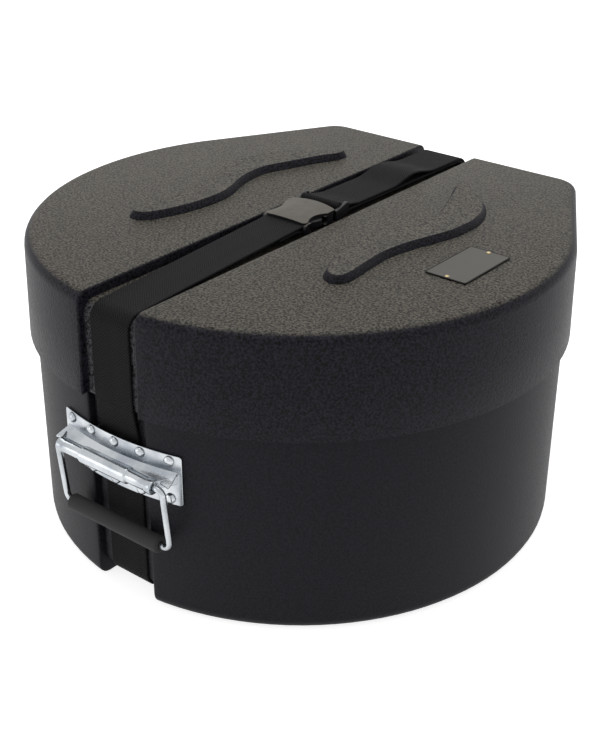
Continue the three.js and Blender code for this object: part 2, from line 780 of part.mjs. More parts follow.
// Bail: one bent wire, both ends turned inwards into the barrel
class BentWire extends THREE.Curve {
  constructor() {
    super();
    const drop = bailReach;
    const right = [
      ...arc(bailLegX - bailTopBend, -bailTopBend, bailTopBend, quarterTurn, 0, bendSteps),
      ...arc(bailLegX - bailGripBend, bailGripBend - drop, bailGripBend, 0, -quarterTurn, bendSteps),
    ];
    const left = right.map((point) => new THREE.Vector2(-point.x, point.y)).reverse();
    this.corners = [new THREE.Vector2(bailTipX, 0), ...right, ...left, new THREE.Vector2(-bailTipX, 0)];
    this.runs = [0];
    for (let i = 1; i < this.corners.length; i += 1) {
      this.runs.push(this.runs[i - 1] + this.corners[i].distanceTo(this.corners[i - 1]));
    }
  }

  getPoint(share, target = new THREE.Vector3()) {
    const run = share * this.runs[this.runs.length - 1];
    const found = this.runs.findIndex((length) => length >= run);
    const i = Math.max(found < 0 ? this.runs.length - 1 : found, 1);
    const part = (run - this.runs[i - 1]) / (this.runs[i] - this.runs[i - 1]);
    const flat = this.corners[i - 1].clone().lerp(this.corners[i], part);
    return target.set(flat.x, 0, flat.y);
  }
}

const gripWallY = -Math.sqrt(baseRadius ** 2 - baseChannelHalf ** 2);
const gripY = gripWallY - seatGap - gripRadius;
const bailTilt = Math.asin((gripY - barrelY) / bailReach);
const bailAxis = new THREE.Matrix4().makeRotationX(bailTilt).setPosition(0, barrelY, barrelZ);

function bail() {
  const section = new THREE.Shape(disc(0, 0, wireRadius, bailSides));
  const geometry = new THREE.ExtrudeGeometry(section, { steps: bailSteps, extrudePath: new BentWire() });
  return placed(geometry, bailAxis);
}

function grip() {
  const half = bailLegX - bailGripBend - gripEndClearance;
  const profile = [
    [gripBore, -half],
    [gripRadius - gripEndRounding, -half],
    [gripRadius, -half + gripEndRounding],
    [gripRadius, half - gripEndRounding],
    [gripRadius - gripEndRounding, half],
    [gripBore, half],
    [gripBore, -half],
  ];
  const geometry = turned(profile, roundSteps * 2).applyMatrix4(spinToX).translate(0, 0, -bailReach);
  return placed(geometry, bailAxis);
}

class Coil extends THREE.Curve {
  constructor(radius, length, turns) {
    super();
    this.radius = radius;
    this.length = length;
    this.turns = turns;
  }

  getPoint(share, target = new THREE.Vector3()) {
    const angle = share * this.turns * fullTurn;
    const x = (share - 1 / 2) * this.length;
    return target.set(x, this.radius * Math.cos(angle), this.radius * Math.sin(angle));
  }
}

function handleSpring() {
  const bore = barrelThickRadius - sheet;
  const radius = bore - springWallClearance - springWireRadius;
  const length = (barrelThickHalf - sheet - springEndClearance - springWireRadius) * 2;
  const section = new THREE.Shape(disc(0, 0, springWireRadius, springSides));
  const path = new Coil(radius, length, springTurns);
  const steps = springTurns * springStepsPerTurn;
  const geometry = new THREE.ExtrudeGeometry(section, { steps, extrudePath: path });
  return toSolid(geometry.translate(0, barrelY, barrelZ));
}

// Label plate and its rivets
function labelPlate() {
  const low = caseHeight + seatGap;
  const outline = roundedRectangle(labelX - labelWidth / 2, -labelLength / 2,
    labelX + labelWidth / 2, labelLength / 2, labelCorner);
  return cutBy(prismZ(outline, low, low + labelThickness), labelHoles);
}

function labelRivet(y) {
  const seat = caseHeight + labelThickness + seatGap * 2;
  const profile = [
    [0, -labelThickness - wall],
    [labelRivetShankRadius, -labelThickness - wall],
    [labelRivetShankRadius, 0],
    [labelRivetHeadRadius, 0],
    [labelRivetHeadRadius / 2, labelRivetHeadHeight],
    [0, labelRivetHeadHeight],
  ];
  return placed(turned(profile), spinToZ.clone().setPosition(labelX, y, seat));
}

// Buckle body: crowned in section and scalloped at the sides
function buckleFemale() {
  const shoulder = buckleTopZ - femaleCrown;
  const crown = new THREE.Shape();
  crown.moveTo(-femaleHalf - overrun, buckleLowZ);
  crown.lineTo(femaleHalf + overrun, buckleLowZ);
  crown.lineTo(femaleHalf, shoulder);
  crown.quadraticCurveTo(0, buckleTopZ + femaleCrown, -femaleHalf, shoulder);
  const plan = new THREE.Shape();
  const waist = femaleHalf - scallopDepth * 2;
  const scallopMiddle = (scallopFrontY + scallopBackY) / 2;
  plan.moveTo(-femaleHalf + femaleCorner, femaleFrontY);
  plan.lineTo(femaleHalf - femaleCorner, femaleFrontY);
  plan.quadraticCurveTo(femaleHalf, femaleFrontY, femaleHalf, femaleFrontY + femaleCorner);
  plan.lineTo(femaleHalf, scallopFrontY);
  plan.quadraticCurveTo(waist, scallopMiddle, femaleHalf, scallopBackY);
  plan.lineTo(femaleHalf, femaleBackY - femaleCorner);
  plan.quadraticCurveTo(femaleHalf, femaleBackY, femaleHalf - femaleCorner, femaleBackY);
  plan.quadraticCurveTo(0, femaleBackY + femaleBackBulge * 2, -femaleHalf + femaleCorner, femaleBackY);
  plan.quadraticCurveTo(-femaleHalf, femaleBackY, -femaleHalf, femaleBackY - femaleCorner);
  plan.lineTo(-femaleHalf, scallopBackY);
  plan.quadraticCurveTo(-waist, scallopMiddle, -femaleHalf, scallopFrontY);
  plan.lineTo(-femaleHalf, femaleFrontY + femaleCorner);
  plan.quadraticCurveTo(-femaleHalf, femaleFrontY, -femaleHalf + femaleCorner, femaleFrontY);
  const endY = femaleBackY + femaleBackBulge + overrun;
  const body = prismY(crown.getPoints(bendSteps), femaleFrontY - overrun, endY)
    .intersect(prismZ(plan.getPoints(bendSteps), buckleLowZ, buckleTopZ + overrun));
  const socket = prismY(rectangle(-socketHalf, socketLowZ, socketHalf, socketHighZ), socketFrontY, endY);
  const windowZ = (socketLowZ + socketHighZ) / 2;
  const windowRadius = (socketHighZ - socketLowZ) / 2;
  const windowFrontY = scallopFrontY + scallopDepth;
  const windowBackY = scallopBackY - scallopDepth;
  const windowOutline = [
    ...arc(windowFrontY, windowZ, windowRadius, quarterTurn, quarterTurn + halfTurn, bendSteps),
    ...arc(windowBackY, windowZ, windowRadius, -quarterTurn, quarterTurn, bendSteps),
  ];
  const windows = prismX(windowOutline, -femaleHalf - overrun, femaleHalf + overrun);
  const pocketHalf = webWidth / 2 + seatGap * 2;
  const pocketHigh = buckleTopZ - hoodThickness - femaleCrown / 2;
  const pocket = prismX(rectangle(femaleFrontY - overrun, buckleLowZ - overrun, webPocketBackY, pocketHigh),
    -pocketHalf, pocketHalf);
  const barHalf = pocketHalf + femaleWall;
  const bar = prismX(disc(sewnBarY, sewnBarZ, sewnBarRadius), -barHalf, barHalf);
  return cutBy(body, [socket, windows, pocket]).add(bar);
}

// Plug frame: face that closes the socket, two rails, rear bar, ladder bar and guide tongue
function buckleMale() {
  const low = buckleLowZ;
  const high = low + plugHeight;
  const top = high + plugRearRise;
  const faceBackY = plugFaceY + plugFaceThickness;
  const side = [
    new THREE.Vector2(plugFaceY, low),
    new THREE.Vector2(faceBackY, low),
    new THREE.Vector2(plugBackY, low + plugRearLift),
    new THREE.Vector2(plugBackY, top - plugCorner),
    new THREE.Vector2(plugBackY - plugCorner, top),
    new THREE.Vector2(faceBackY, high),
    new THREE.Vector2(plugFaceY, high),
  ];
  const frame = prismZ(roundedRectangle(-plugHalf, plugFaceY, plugHalf, plugBackY, plugCorner), low, top)
    .intersect(prismX(side, -plugHalf - overrun, plugHalf + overrun));
  const opening = prismZ(rectangle(-plugHalf + plugRail, faceBackY,
    plugHalf - plugRail, plugBackY + overrun), low - overrun, top + overrun);
  const barEnd = plugHalf - plugRail / 2;
  const bars = [
    prismX(disc(ladderBarY, ladderBarZ, ladderBarRadius), -barEnd, barEnd),
    prismX(disc(rearBarY, rearBarZ, rearBarRadius), -barEnd, barEnd),
  ];
  const tongueLow = (prongLowZ + prongHighZ - tongueHeight) / 2;
  const tonguePlan = rectangle(-tongueHalf, plugFaceY - tongueLength, tongueHalf, faceBackY);
  const tongue = prismZ(tonguePlan, tongueLow, tongueLow + tongueHeight);
  const rootHalf = prongPivotX + prongRootRadius;
  const rootPlan = rectangle(-rootHalf, prongPivotY, rootHalf, faceBackY);
  const rootBlock = prismZ(rootPlan, prongLowZ, prongHighZ);
  const seats = [prongSeat(1), prongSeat(-1)];
  return cutBy(joined([frame.subtract(opening), ...bars, tongue, rootBlock]), seats);
}

function prongSeat(side) {
  const seat = disc(side * prongPivotX, prongPivotY, prongRootRadius + seatGap, roundSteps * 2);
  return prismZ(seat, prongLowZ - overrun, prongHighZ + overrun);
}

// Prong: round root, slender arm, and a rounded thumb pad with its barb behind the window's edge
function prong(side) {
  const outer = socketHalf - seatGap;
  const inner = outer - prongArm;
  const padX = outer + prongPadBulge;
  const barbY = scallopBackY - scallopDepth - barbDepth - seatGap;
  const tipY = plugFaceY - prongReach - prongRootRadius;
  const outline = new THREE.Shape();
  outline.moveTo(prongPivotX - prongRootRadius / 2, prongPivotY);
  outline.lineTo(prongPivotX + prongRootRadius / 2, prongPivotY);
  outline.lineTo(outer - prongArm / 2, barbY + barbDepth * 2);
  outline.lineTo(outer, barbY + barbDepth);
  outline.lineTo(outer + barbDepth, barbY);
  outline.quadraticCurveTo(padX, barbY - prongArm, padX, (barbY + tipY) / 2);
  outline.quadraticCurveTo(outer, tipY + prongArm / 2, inner + prongArm / 2, tipY);
  outline.lineTo(inner, tipY + prongArm);
  outline.lineTo(inner - prongArm / 2, barbY);
  outline.lineTo(prongPivotX - prongRootRadius / 2, prongPivotY);
  const points = outline.getPoints(bendSteps).slice(0, -1)
    .map((point) => new THREE.Vector2(side * point.x, point.y));
  const arm = prismZ(points, prongLowZ, prongHighZ);
  const rootPlan = disc(side * prongPivotX, prongPivotY, prongRootRadius, roundSteps * 2);
  return arm.add(prismZ(rootPlan, prongLowZ, prongHighZ));
}

// The assembly
const assembly = new THREE.Group();

function addPiece(name, solid, material) {
  const mesh = new THREE.Mesh(toGeometry(solid), material);
  mesh.name = name;
  assembly.add(mesh);
}

addPiece('base_shell', baseShell(), shellPlastic);
addPiece('floor_pad_left', floorPad(-1), foam);
addPiece('floor_pad_right', floorPad(1), foam);
addPiece('wall_pad_side_left', curvedPad(halfTurn - sidePadAngle), foam);
addPiece('wall_pad_side_right', curvedPad(sidePadAngle), foam);
addPiece('wall_pad_front_left', curvedPad(halfTurn - frontPadAngle), foam);
addPiece('wall_pad_front_right', curvedPad(frontPadAngle), foam);
addPiece('wall_pad_back_left', backPad(-1), foam);
addPiece('wall_pad_back_right', backPad(1), foam);
addPiece('strap_lower', strapLower(), webbing);
addPiece('handle_plate', handlePlate(), zincSteel);
addPiece('handle_spring', handleSpring(), springSteel);
for (const [row, height] of Object.entries({ upper: rivetRows[0], lower: rivetRows[1] })) {
  addPiece(`backing_strip_${row}`, backingStrip(height), zincSteel);
  rivetPlaces.forEach((place, i) => {
    addPiece(`rivet_${row}_${i + 1}`, rivet(place, height), zincSteel);
    if (place.throughChannel) return;
    addPiece(`backing_washer_${row}_${i + 1}`, backingWasher(place, height), zincSteel);
  });
}
addPiece('bail', bail(), zincSteel);
addPiece('grip', grip(), rubber);
addPiece('lid_shell', lidShell(), lidPlastic);
addPiece('lid_pad_left', lidPad(-1), foam);
addPiece('lid_pad_right', lidPad(1), foam);
addPiece('label_plate', labelPlate(), labelPaint);
addPiece('label_rivet_front', labelRivet(-labelRivetY()), rivetBrass);
addPiece('label_rivet_back', labelRivet(labelRivetY()), rivetBrass);
addPiece('strap_front', strapFront(), webbing);
addPiece('buckle_female', buckleFemale(), bucklePlastic);
addPiece('strap_rear', strapRear(), webbing);
addPiece('buckle_male', buckleMale(), bucklePlastic);
addPiece('prong_left', prong(-1), bucklePlastic);
addPiece('prong_right', prong(1), bucklePlastic);

// Centre the case over the origin, between the barrel's front and the flat back
assembly.position.y = (barrelThickRadius - barrelY - backReach) / 2;

export default assembly;
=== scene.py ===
"""Looks of the drum case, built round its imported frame.

Sizes are in millimetres in a frame whose Z axis is the drum's own axis. The workshop turns
each finished mesh into metres and moves it to the case's frame.
"""

import logging
import math
from collections.abc import Callable, Iterable, Sequence
from dataclasses import dataclass
from enum import Enum
from typing import NamedTuple

import bmesh
import bpy
from mathutils import Matrix, Vector


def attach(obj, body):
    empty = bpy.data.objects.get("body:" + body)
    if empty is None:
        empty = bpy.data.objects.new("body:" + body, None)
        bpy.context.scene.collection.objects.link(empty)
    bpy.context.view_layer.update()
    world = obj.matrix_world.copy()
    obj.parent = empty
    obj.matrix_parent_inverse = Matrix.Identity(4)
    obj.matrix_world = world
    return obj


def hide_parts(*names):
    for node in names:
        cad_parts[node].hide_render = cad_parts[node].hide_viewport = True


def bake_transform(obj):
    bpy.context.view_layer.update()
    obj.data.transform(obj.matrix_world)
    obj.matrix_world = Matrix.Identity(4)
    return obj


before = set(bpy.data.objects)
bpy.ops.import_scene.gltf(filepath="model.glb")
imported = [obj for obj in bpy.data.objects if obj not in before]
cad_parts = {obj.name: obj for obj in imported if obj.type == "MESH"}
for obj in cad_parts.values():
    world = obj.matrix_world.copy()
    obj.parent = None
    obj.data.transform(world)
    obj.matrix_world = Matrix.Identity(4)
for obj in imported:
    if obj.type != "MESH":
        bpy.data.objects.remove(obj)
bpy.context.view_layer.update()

LOG = logging.getLogger("drum_case")
METRES = 0.001
AXIS_Y = 5.65
QUARTER = math.pi / 2
FULL = math.pi * 2
NEAR = 1e-3
WHOLE = (0.0, 1.0, 0.0, 1.0)

Colour = tuple[float, float, float, float]
Pair = tuple[float, float]
Mesh = bmesh.types.BMesh
Face = bmesh.types.BMFace
Edge = bmesh.types.BMEdge
Vert = bmesh.types.BMVert
Node = bpy.types.Node
Socket = bpy.types.NodeSocket


class Body(Enum):
    """The moving bodies of the case."""

    BASE = "base"
    LID = "lid"
    BAIL = "bail"
    PLUG = "buckle_male"
    PRONG_LEFT = "prong_left"
    PRONG_RIGHT = "prong_right"


class Slot(Enum):
    """The material slots of the case's record."""

    SHELL = "shell_plastic"
    FOAM = "foam"
    WEBBING = "webbing"
    BUCKLE = "buckle_plastic"
    ZINC = "zinc_steel"
    RUBBER = "grip_rubber"
    LABEL = "label_plastic"
    BRASS = "label_rivet"


class Board:
    """Places and joins the nodes of one node tree."""

    pitch = 180

    def __init__(self, tree: bpy.types.NodeTree) -> None:
        """Starts on a tree."""
        self.tree = tree
        self.column = 0

    @classmethod
    def fresh(cls, holder: bpy.types.Material | bpy.types.World) -> "Board":
        """Empties the node tree of a material or a world.

        Args:
            holder: The material or the world.

        Returns:
            A board on its tree.
        """
        holder.use_nodes = True
        holder.node_tree.nodes.clear()
        return cls(holder.node_tree)

    def add(self, kind: str, **values: object) -> Node:
        """Adds one node.

        Args:
            kind: The node's type, such as ShaderNodeMath.
            values: Properties of the node, and its inputs with _ for a space.

        Returns:
            The new node.
        """
        node = self.tree.nodes.new(kind)
        self.column += 1
        node.location = (self.column * self.pitch, 0)
        for name, value in values.items():
            if hasattr(node, name):
                setattr(node, name, value)
            else:
                self.join(value, node.inputs[name.replace("_", " ")])
        return node

    def join(self, source: object, target: Socket) -> None:
        """Joins an output to an input, or sets the input itself.

        Args:
            source: A socket, or a plain number or colour.
            target: The input.
        """
        if isinstance(source, bpy.types.NodeSocket):
            self.tree.links.new(source, target)
        else:
            target.default_value = source

    def maths(self, operation: str, *terms: object) -> Socket:
        """Adds a Math node.

        Args:
            operation: The operation's name.
            terms: Sockets or numbers, one for each input.

        Returns:
            The node's output.
        """
        node = self.add("ShaderNodeMath", operation=operation)
        for term, target in zip(terms, node.inputs):
            self.join(term, target)
        return node.outputs[0]

    def blend(self, share: object, low: object, high: object, way: str = "MIX") -> Socket:
        """Mixes two colours.

        Args:
            share: Socket or number, 0 for low and 1 for high.
            low: Socket or colour.
            high: Socket or colour.
            way: How they mix.

        Returns:
            The mixed colour.
        """
        node = self.add("ShaderNodeMix", data_type="RGBA", blend_type=way)
        for index, source in ((0, share), (6, low), (7, high)):
            self.join(source, node.inputs[index])
        return node.outputs[2]

    def ranged(self, value: Socket, span: Sequence[float]) -> Socket:
        """Maps a value from one range to another.

        Args:
            value: The value to map.
            span: From low, from high, to low, to high.

        Returns:
            The mapped value.
        """
        node = self.add("ShaderNodeMapRange", clamp=True)
        for source, target in zip((value, *span), node.inputs):
            self.join(source, target)
        return node.outputs[0]

    def split(self, vector: Socket) -> Sequence[Socket]:
        """Returns the X, Y and Z of a vector."""
        return self.add("ShaderNodeSeparateXYZ", Vector=vector).outputs


def colour(red: float, green: float, blue: float) -> Colour:
    """Returns a linear colour with full alpha."""
    return (red, green, blue, 1.0)


class SharedGroups:
    """Node groups that more than one finish uses, each built once."""

    def __init__(self) -> None:
        """Builds the groups."""
        self.grain = self._grain()
        self.dust_and_top_light = self._build_dust_and_top_light()
        self.weave = self._weave()

    @staticmethod
    def _group(
        name: str, numbers: dict[str, float], outputs: Sequence[str],
    ) -> tuple[Board, Sequence[Socket]]:
        """Starts a group that reads a place and some numbers.

        Args:
            name: The group's name.
            numbers: Name and default of each number.
            outputs: Names of the value outputs.

        Returns:
            A board on the new group's tree, and what the group reads.
        """
        tree = bpy.data.node_groups.new(name, "ShaderNodeTree")
        tree.interface.new_socket("Place", in_out="INPUT", socket_type="NodeSocketVector")
        for label, default in numbers.items():
            socket = tree.interface.new_socket(label, in_out="INPUT", socket_type="NodeSocketFloat")
            socket.default_value = default
        for label in outputs:
            tree.interface.new_socket(label, in_out="OUTPUT", socket_type="NodeSocketFloat")
        board = Board(tree)
        return board, board.add("NodeGroupInput").outputs

    def _grain(self) -> bpy.types.NodeTree:
        """Builds moulded pebble grain: cells broken by finer noise.

        Returns:
            The group's tree, with Height and Speckle outputs.
        """
        finer, fine_share, pit_share = 1.3, 0.8, 0.7
        speckle = (0.36, 0.64, 0.0, 1.0)
        board, given = self._group("moulded_grain", {"Cells": 400.0}, ("Height", "Speckle"))
        cells = board.add(
            "ShaderNodeTexVoronoi", feature="SMOOTH_F1", Smoothness=0.35, Vector=given["Place"],
            Scale=given["Cells"])
        scale = board.maths("MULTIPLY", given["Cells"], finer)
        fine = board.add("ShaderNodeTexNoise", Detail=1.5, Roughness=0.55, Vector=given["Place"], Scale=scale)
        pits = board.maths("MULTIPLY", board.maths("SUBTRACT", 1.0, cells.outputs["Distance"]), pit_share)
        height = board.maths("MULTIPLY_ADD", fine.outputs[0], fine_share, pits)
        board.add("NodeGroupOutput", Height=height, Speckle=board.ranged(fine.outputs[0], speckle))
        return board.tree

    def _build_dust_and_top_light(self) -> bpy.types.NodeTree:
        """Builds a mask on what faces up: patchy dust, and painted light that falls from above.

        Returns:
            The group's tree, with a Mask output.
        """
        fade, cloudy = 0.18, (0.3, 0.7, 0.0, 1.0)
        numbers = {"Patches": 9.0, "Patchiness": 0.25, "Steepest": 0.78}
        board, given = self._group("dust_and_top_light_mask", numbers, ("Mask",))
        # Painted light: the mask grows on faces that look up, so tops take a lighter colour as if lit from
        # above.
        upward = board.split(board.add("ShaderNodeNewGeometry").outputs["Normal"])[2]
        up = board.maths("DIVIDE", board.maths("SUBTRACT", upward, given["Steepest"]), fade)
        patches = board.add(
            "ShaderNodeTexNoise", Detail=5.0, Roughness=0.65, Vector=given["Place"], Scale=given["Patches"])
        thin = board.maths("MULTIPLY", given["Patchiness"], board.ranged(patches.outputs[0], cloudy))
        mask = board.maths("MULTIPLY", board.ranged(up, WHOLE), board.maths("SUBTRACT", 1.0, thin))
        board.add("NodeGroupOutput", Mask=mask)
        return board.tree

    def _weave(self) -> bpy.types.NodeTree:
        """Builds herringbone webbing from millimetres across and along the strap.

        Returns:
            The group's tree, with Height and Thread outputs.
        """
        web_width, row_pitch = 38.0, 2.9
        rib_height, rib_level, row_height, fuzz_height = 0.30, 0.38, 0.14, 0.5
        thread = (0.25, 1.0, 0.0, 1.0)
        board, given = self._group("woven_webbing", {"Pitch": 2.3, "Column": 9.75}, ("Height", "Thread"))
        across, along, _ = board.split(given["Place"])
        zigzag = board.maths("PINGPONG", board.maths("ADD", across, web_width), given["Column"])
        waves = []
        for way, pitch in (("ADD", given["Pitch"]), ("SUBTRACT", row_pitch)):
            turns = board.maths("DIVIDE", board.maths(way, along, zigzag), pitch)
            waves.append(board.maths("SINE", board.maths("MULTIPLY", turns, FULL)))
        fuzz = board.add("ShaderNodeTexNoise", Scale=0.55, Detail=3.0, Vector=given["Place"])
        ribs = board.maths("MULTIPLY_ADD", waves[0], rib_height, rib_level)
        ribs = board.maths("MULTIPLY_ADD", waves[1], row_height, ribs)
        height = board.maths("MULTIPLY_ADD", fuzz.outputs[0], fuzz_height, ribs)
        board.add("NodeGroupOutput", Height=height, Thread=board.ranged(height, thread))
        return board.tree


GROUPS = SharedGroups()


class Finish:
    """A surface finish: one material made on first use."""

    name: str
    slot: Slot

    def material(self) -> bpy.types.Material:
        """Builds the finish's material the first time it is asked for.

        Returns:
            The material.
        """
        made = bpy.data.materials.get(self.name)
        if not made:
            made = bpy.data.materials.new(self.name)
            board = Board.fresh(made)
            shader = board.add("ShaderNodeBsdfPrincipled", **self.paint(board))
            board.add("ShaderNodeOutputMaterial", Surface=shader.outputs[0])
        return made

    def paint(self, board: Board) -> dict[str, object]:
        """Makes the textures.

        Args:
            board: Board on the material's tree.

        Returns:
            What feeds each of the Principled shader's inputs.
        """
        raise NotImplementedError

    @staticmethod
    def place(board: Board) -> Socket:
        """Returns the Object coordinates."""
        return board.add("ShaderNodeTexCoord").outputs["Object"]

    @staticmethod
    def use(board: Board, tree: bpy.types.NodeTree, place: Socket, **values: float) -> Sequence[Socket]:
        """Places a shared group and returns its outputs."""
        return board.add("ShaderNodeGroup", node_tree=tree, Place=place, **values).outputs

    @staticmethod
    def bump(board: Board, height: Socket, depth: float, strength: float = 1.0) -> Socket:
        """Makes a normal from a height.

        Args:
            board: Board on the material's tree.
            height: The height value.
            depth: Millimetres that a height of one stands for.
            strength: Strength of the effect.

        Returns:
            The normal.
        """
        node = board.add("ShaderNodeBump", Strength=strength, Distance=depth * METRES, Height=height)
        return node.outputs[0]


@dataclass(frozen=True)
class ShellFinish(Finish):
    """Pebbled, rotationally moulded polyethylene."""

    name: str = "lid_plastic"
    slot: Slot = Slot.SHELL
    side: Colour = colour(0.0120, 0.0115, 0.0160)
    # Colour of faces that look up: dust, with painted light from above.
    top: Colour = colour(0.074, 0.067, 0.055)
    cells: float = 450.0
    contrast: float = 0.95
    depth: float = 0.24
    # Painted light: the channel floor under the strap is lighter, standing in for the light and reflection it
    # catches.
    channel_painted_light: Colour = colour(0.046, 0.045, 0.050)
    channel_painted_light_half: float = 0.0272
    roughness: float = 0.46
    smoother: float = 0.05
    rougher: float = 0.07
    specular: float = 0.11

    def paint(self, board: Board) -> dict[str, object]:
        """Paints the grain, dust with painted light on top, and painted light on the channel floor.

        Args:
            board: Board on the material's tree.

        Returns:
            What feeds each of the shader's inputs.
        """
        place = self.place(board)
        grain = self.use(board, GROUPS.grain, place, Cells=self.cells)
        dust_and_top_light = self.use(board, GROUPS.dust_and_top_light, place, Patches=7.0, Patchiness=0.16, Steepest=0.80)
        # Painted light: inside the channel's half width the floor takes the lighter channel colour.
        in_painted_channel = board.maths("LESS_THAN", board.maths("ABSOLUTE", board.split(place)[0]), self.channel_painted_light_half)
        # Faces that look up take the top colour: dust with painted light from above.
        base = board.blend(dust_and_top_light[0], board.blend(in_painted_channel, self.side, self.channel_painted_light), self.top)
        speckle = board.blend(grain[1], colour(*[1 - self.contrast] * 3), colour(*[1 + self.contrast] * 3))
        span = (0.0, 1.0, self.roughness - self.smoother, self.roughness + self.rougher)
        return {
            "Base_Color": board.blend(1.0, base, speckle, "MULTIPLY"),
            "Roughness": board.ranged(grain[1], span),
            "Specular_IOR_Level": self.specular,
            "Normal": self.bump(board, grain[0], self.depth),
        }


@dataclass(frozen=True)
class WebbingFinish(Finish):
    """Black woven webbing; its pattern follows the strap."""

    name: str = "black_webbing"
    slot: Slot = Slot.WEBBING
    low: Colour = colour(0.0015, 0.0015, 0.0020)
    high: Colour = colour(0.0205, 0.0200, 0.0210)
    roughness: float = 0.72
    specular: float = 0.09
    depth: float = 0.35

    def paint(self, board: Board) -> dict[str, object]:
        """Paints the weave and its sheen.

        Args:
            board: Board on the material's tree.

        Returns:
            What feeds each of the shader's inputs.
        """
        place = board.add("ShaderNodeAttribute", attribute_name="strap_place").outputs["Vector"]
        height, thread = self.use(board, GROUPS.weave, place)
        return {
            "Base_Color": board.blend(thread, self.low, self.high),
            "Roughness": self.roughness,
            "Specular_IOR_Level": self.specular,
            "Normal": self.bump(board, height, self.depth),
        }


@dataclass(frozen=True)
class SatinFinish(Finish):
    """Fine-grained satin plastic or rubber."""

    name: str = "satin_acetal"
    slot: Slot = Slot.BUCKLE
    tone: Colour = colour(0.009, 0.009, 0.011)
    # Colour of faces that look up: dust, with painted light from above.
    top_dust_and_light: Colour = colour(0.108, 0.097, 0.079)
    roughness: float = 0.36
    smoother: float = 0.05
    rougher: float = 0.08
    specular: float = 0.2
    cells: float = 2600.0
    depth: float = 0.035

    def paint(self, board: Board) -> dict[str, object]:
        """Paints a fine texture, and dust with painted light on faces that look up.

        Args:
            board: Board on the material's tree.

        Returns:
            What feeds each of the shader's inputs.
        """
        place = self.place(board)
        grain = self.use(board, GROUPS.grain, place, Cells=self.cells)
        dust_and_top_light = self.use(board, GROUPS.dust_and_top_light, place, Patches=90.0, Patchiness=0.3, Steepest=0.7)
        span = (0.0, 1.0, self.roughness - self.smoother, self.roughness + self.rougher)
        return {
            # Faces that look up take the upper colour: dust with painted light from above.
            "Base_Color": board.blend(dust_and_top_light[0], self.tone, self.top_dust_and_light),
            "Roughness": board.ranged(grain[1], span),
            "Specular_IOR_Level": self.specular,
            "Normal": self.bump(board, grain[0], self.depth),
        }


@dataclass(frozen=True)
class MetalFinish(Finish):
    """Plated metal with handling marks, faint drawing lines and painted shade on faces that look down."""

    name: str = "zinc_plate"
    slot: Slot = Slot.ZINC
    bright: Colour = colour(0.55, 0.575, 0.60)
    dull: Colour = colour(0.37, 0.40, 0.435)
    # Painted shade: the dark colour that faces looking down and towards +X blend to.
    painted_shade: Colour = colour(0.08, 0.08, 0.09)
    roughness: float = 0.2
    smoother: float = 0.05
    rougher: float = 0.10
    stretch: tuple[float, float, float] = (40.0, 600.0, 600.0)
    cloud_span: Colour = (0.40, 0.66, 0.0, 1.0)
    painted_shade_span: Colour = (0.30, 0.85, 0.0, 0.9)
    below: float = -0.85
    beside: float = 0.45
    cloud_share: float = 0.6
    line_share: float = 0.4
    dent: float = 0.03
    dent_strength: float = 0.3

    def paint(self, board: Board) -> dict[str, object]:
        """Paints clouding, drawing lines, small dents and painted shade on faces that look down and towards
        +X.

        Args:
            board: Board on the material's tree.

        Returns:
            What feeds each of the shader's inputs.
        """
        place = self.place(board)
        drawn = board.add("ShaderNodeMapping", Vector=place, Scale=self.stretch).outputs[0]
        lines = board.add("ShaderNodeTexNoise", Vector=drawn, Scale=1.0, Detail=3.0).outputs[0]
        clouds = board.add(
            "ShaderNodeTexNoise", Vector=place, Scale=45.0, Detail=3.0, Roughness=0.5).outputs[0]
        plated = board.blend(board.ranged(clouds, self.cloud_span), self.bright, self.dull)
        side, _, up = board.split(board.add("ShaderNodeNewGeometry").outputs["Normal"])
        # Painted shade: the share grows on faces that look down and towards +X.
        under = board.maths("MULTIPLY_ADD", up, self.below, board.maths("MULTIPLY", side, self.beside))
        lined = board.maths("MULTIPLY", lines, self.line_share)
        mixed = board.maths("MULTIPLY_ADD", clouds, self.cloud_share, lined)
        span = (0.3, 0.7, self.roughness - self.smoother, self.roughness + self.rougher)
        return {
            # Painted shade darkens the plating by that share.
            "Base_Color": board.blend(board.ranged(under, self.painted_shade_span), plated, self.painted_shade),
            "Metallic": 1.0,
            "Roughness": board.ranged(mixed, span),
            "Normal": self.bump(board, clouds, self.dent, self.dent_strength),
        }


@dataclass(frozen=True)
class FoamFinish(Finish):
    """Charcoal closed-cell foam."""

    name: str = "charcoal_foam"
    slot: Slot = Slot.FOAM
    low: Colour = colour(0.014, 0.014, 0.015)
    high: Colour = colour(0.042, 0.042, 0.044)
    cells: float = 620.0
    roughness: float = 0.9
    specular: float = 0.2
    depth: float = 0.5

    def paint(self, board: Board) -> dict[str, object]:
        """Paints the cells.

        Args:
            board: Board on the material's tree.

        Returns:
            What feeds each of the shader's inputs.
        """
        height, speckle = self.use(board, GROUPS.grain, self.place(board), Cells=self.cells)
        return {
            "Base_Color": board.blend(speckle, self.low, self.high),
            "Roughness": self.roughness,
            "Specular_IOR_Level": self.specular,
            "Normal": self.bump(board, height, self.depth),
        }


LID_PLASTIC = ShellFinish()
# The base's top colour is dust with painted light; its channel colour is painted light that lifts the shade
# in the deep channel.
BASE_PLASTIC = ShellFinish(
    name="base_plastic", side=colour(0.0135, 0.0130, 0.0172), top=colour(0.030, 0.029, 0.028), contrast=0.5,
    channel_painted_light=colour(0.036, 0.036, 0.041), depth=0.12, cells=520.0, roughness=0.5)
WEBBING = WebbingFinish()
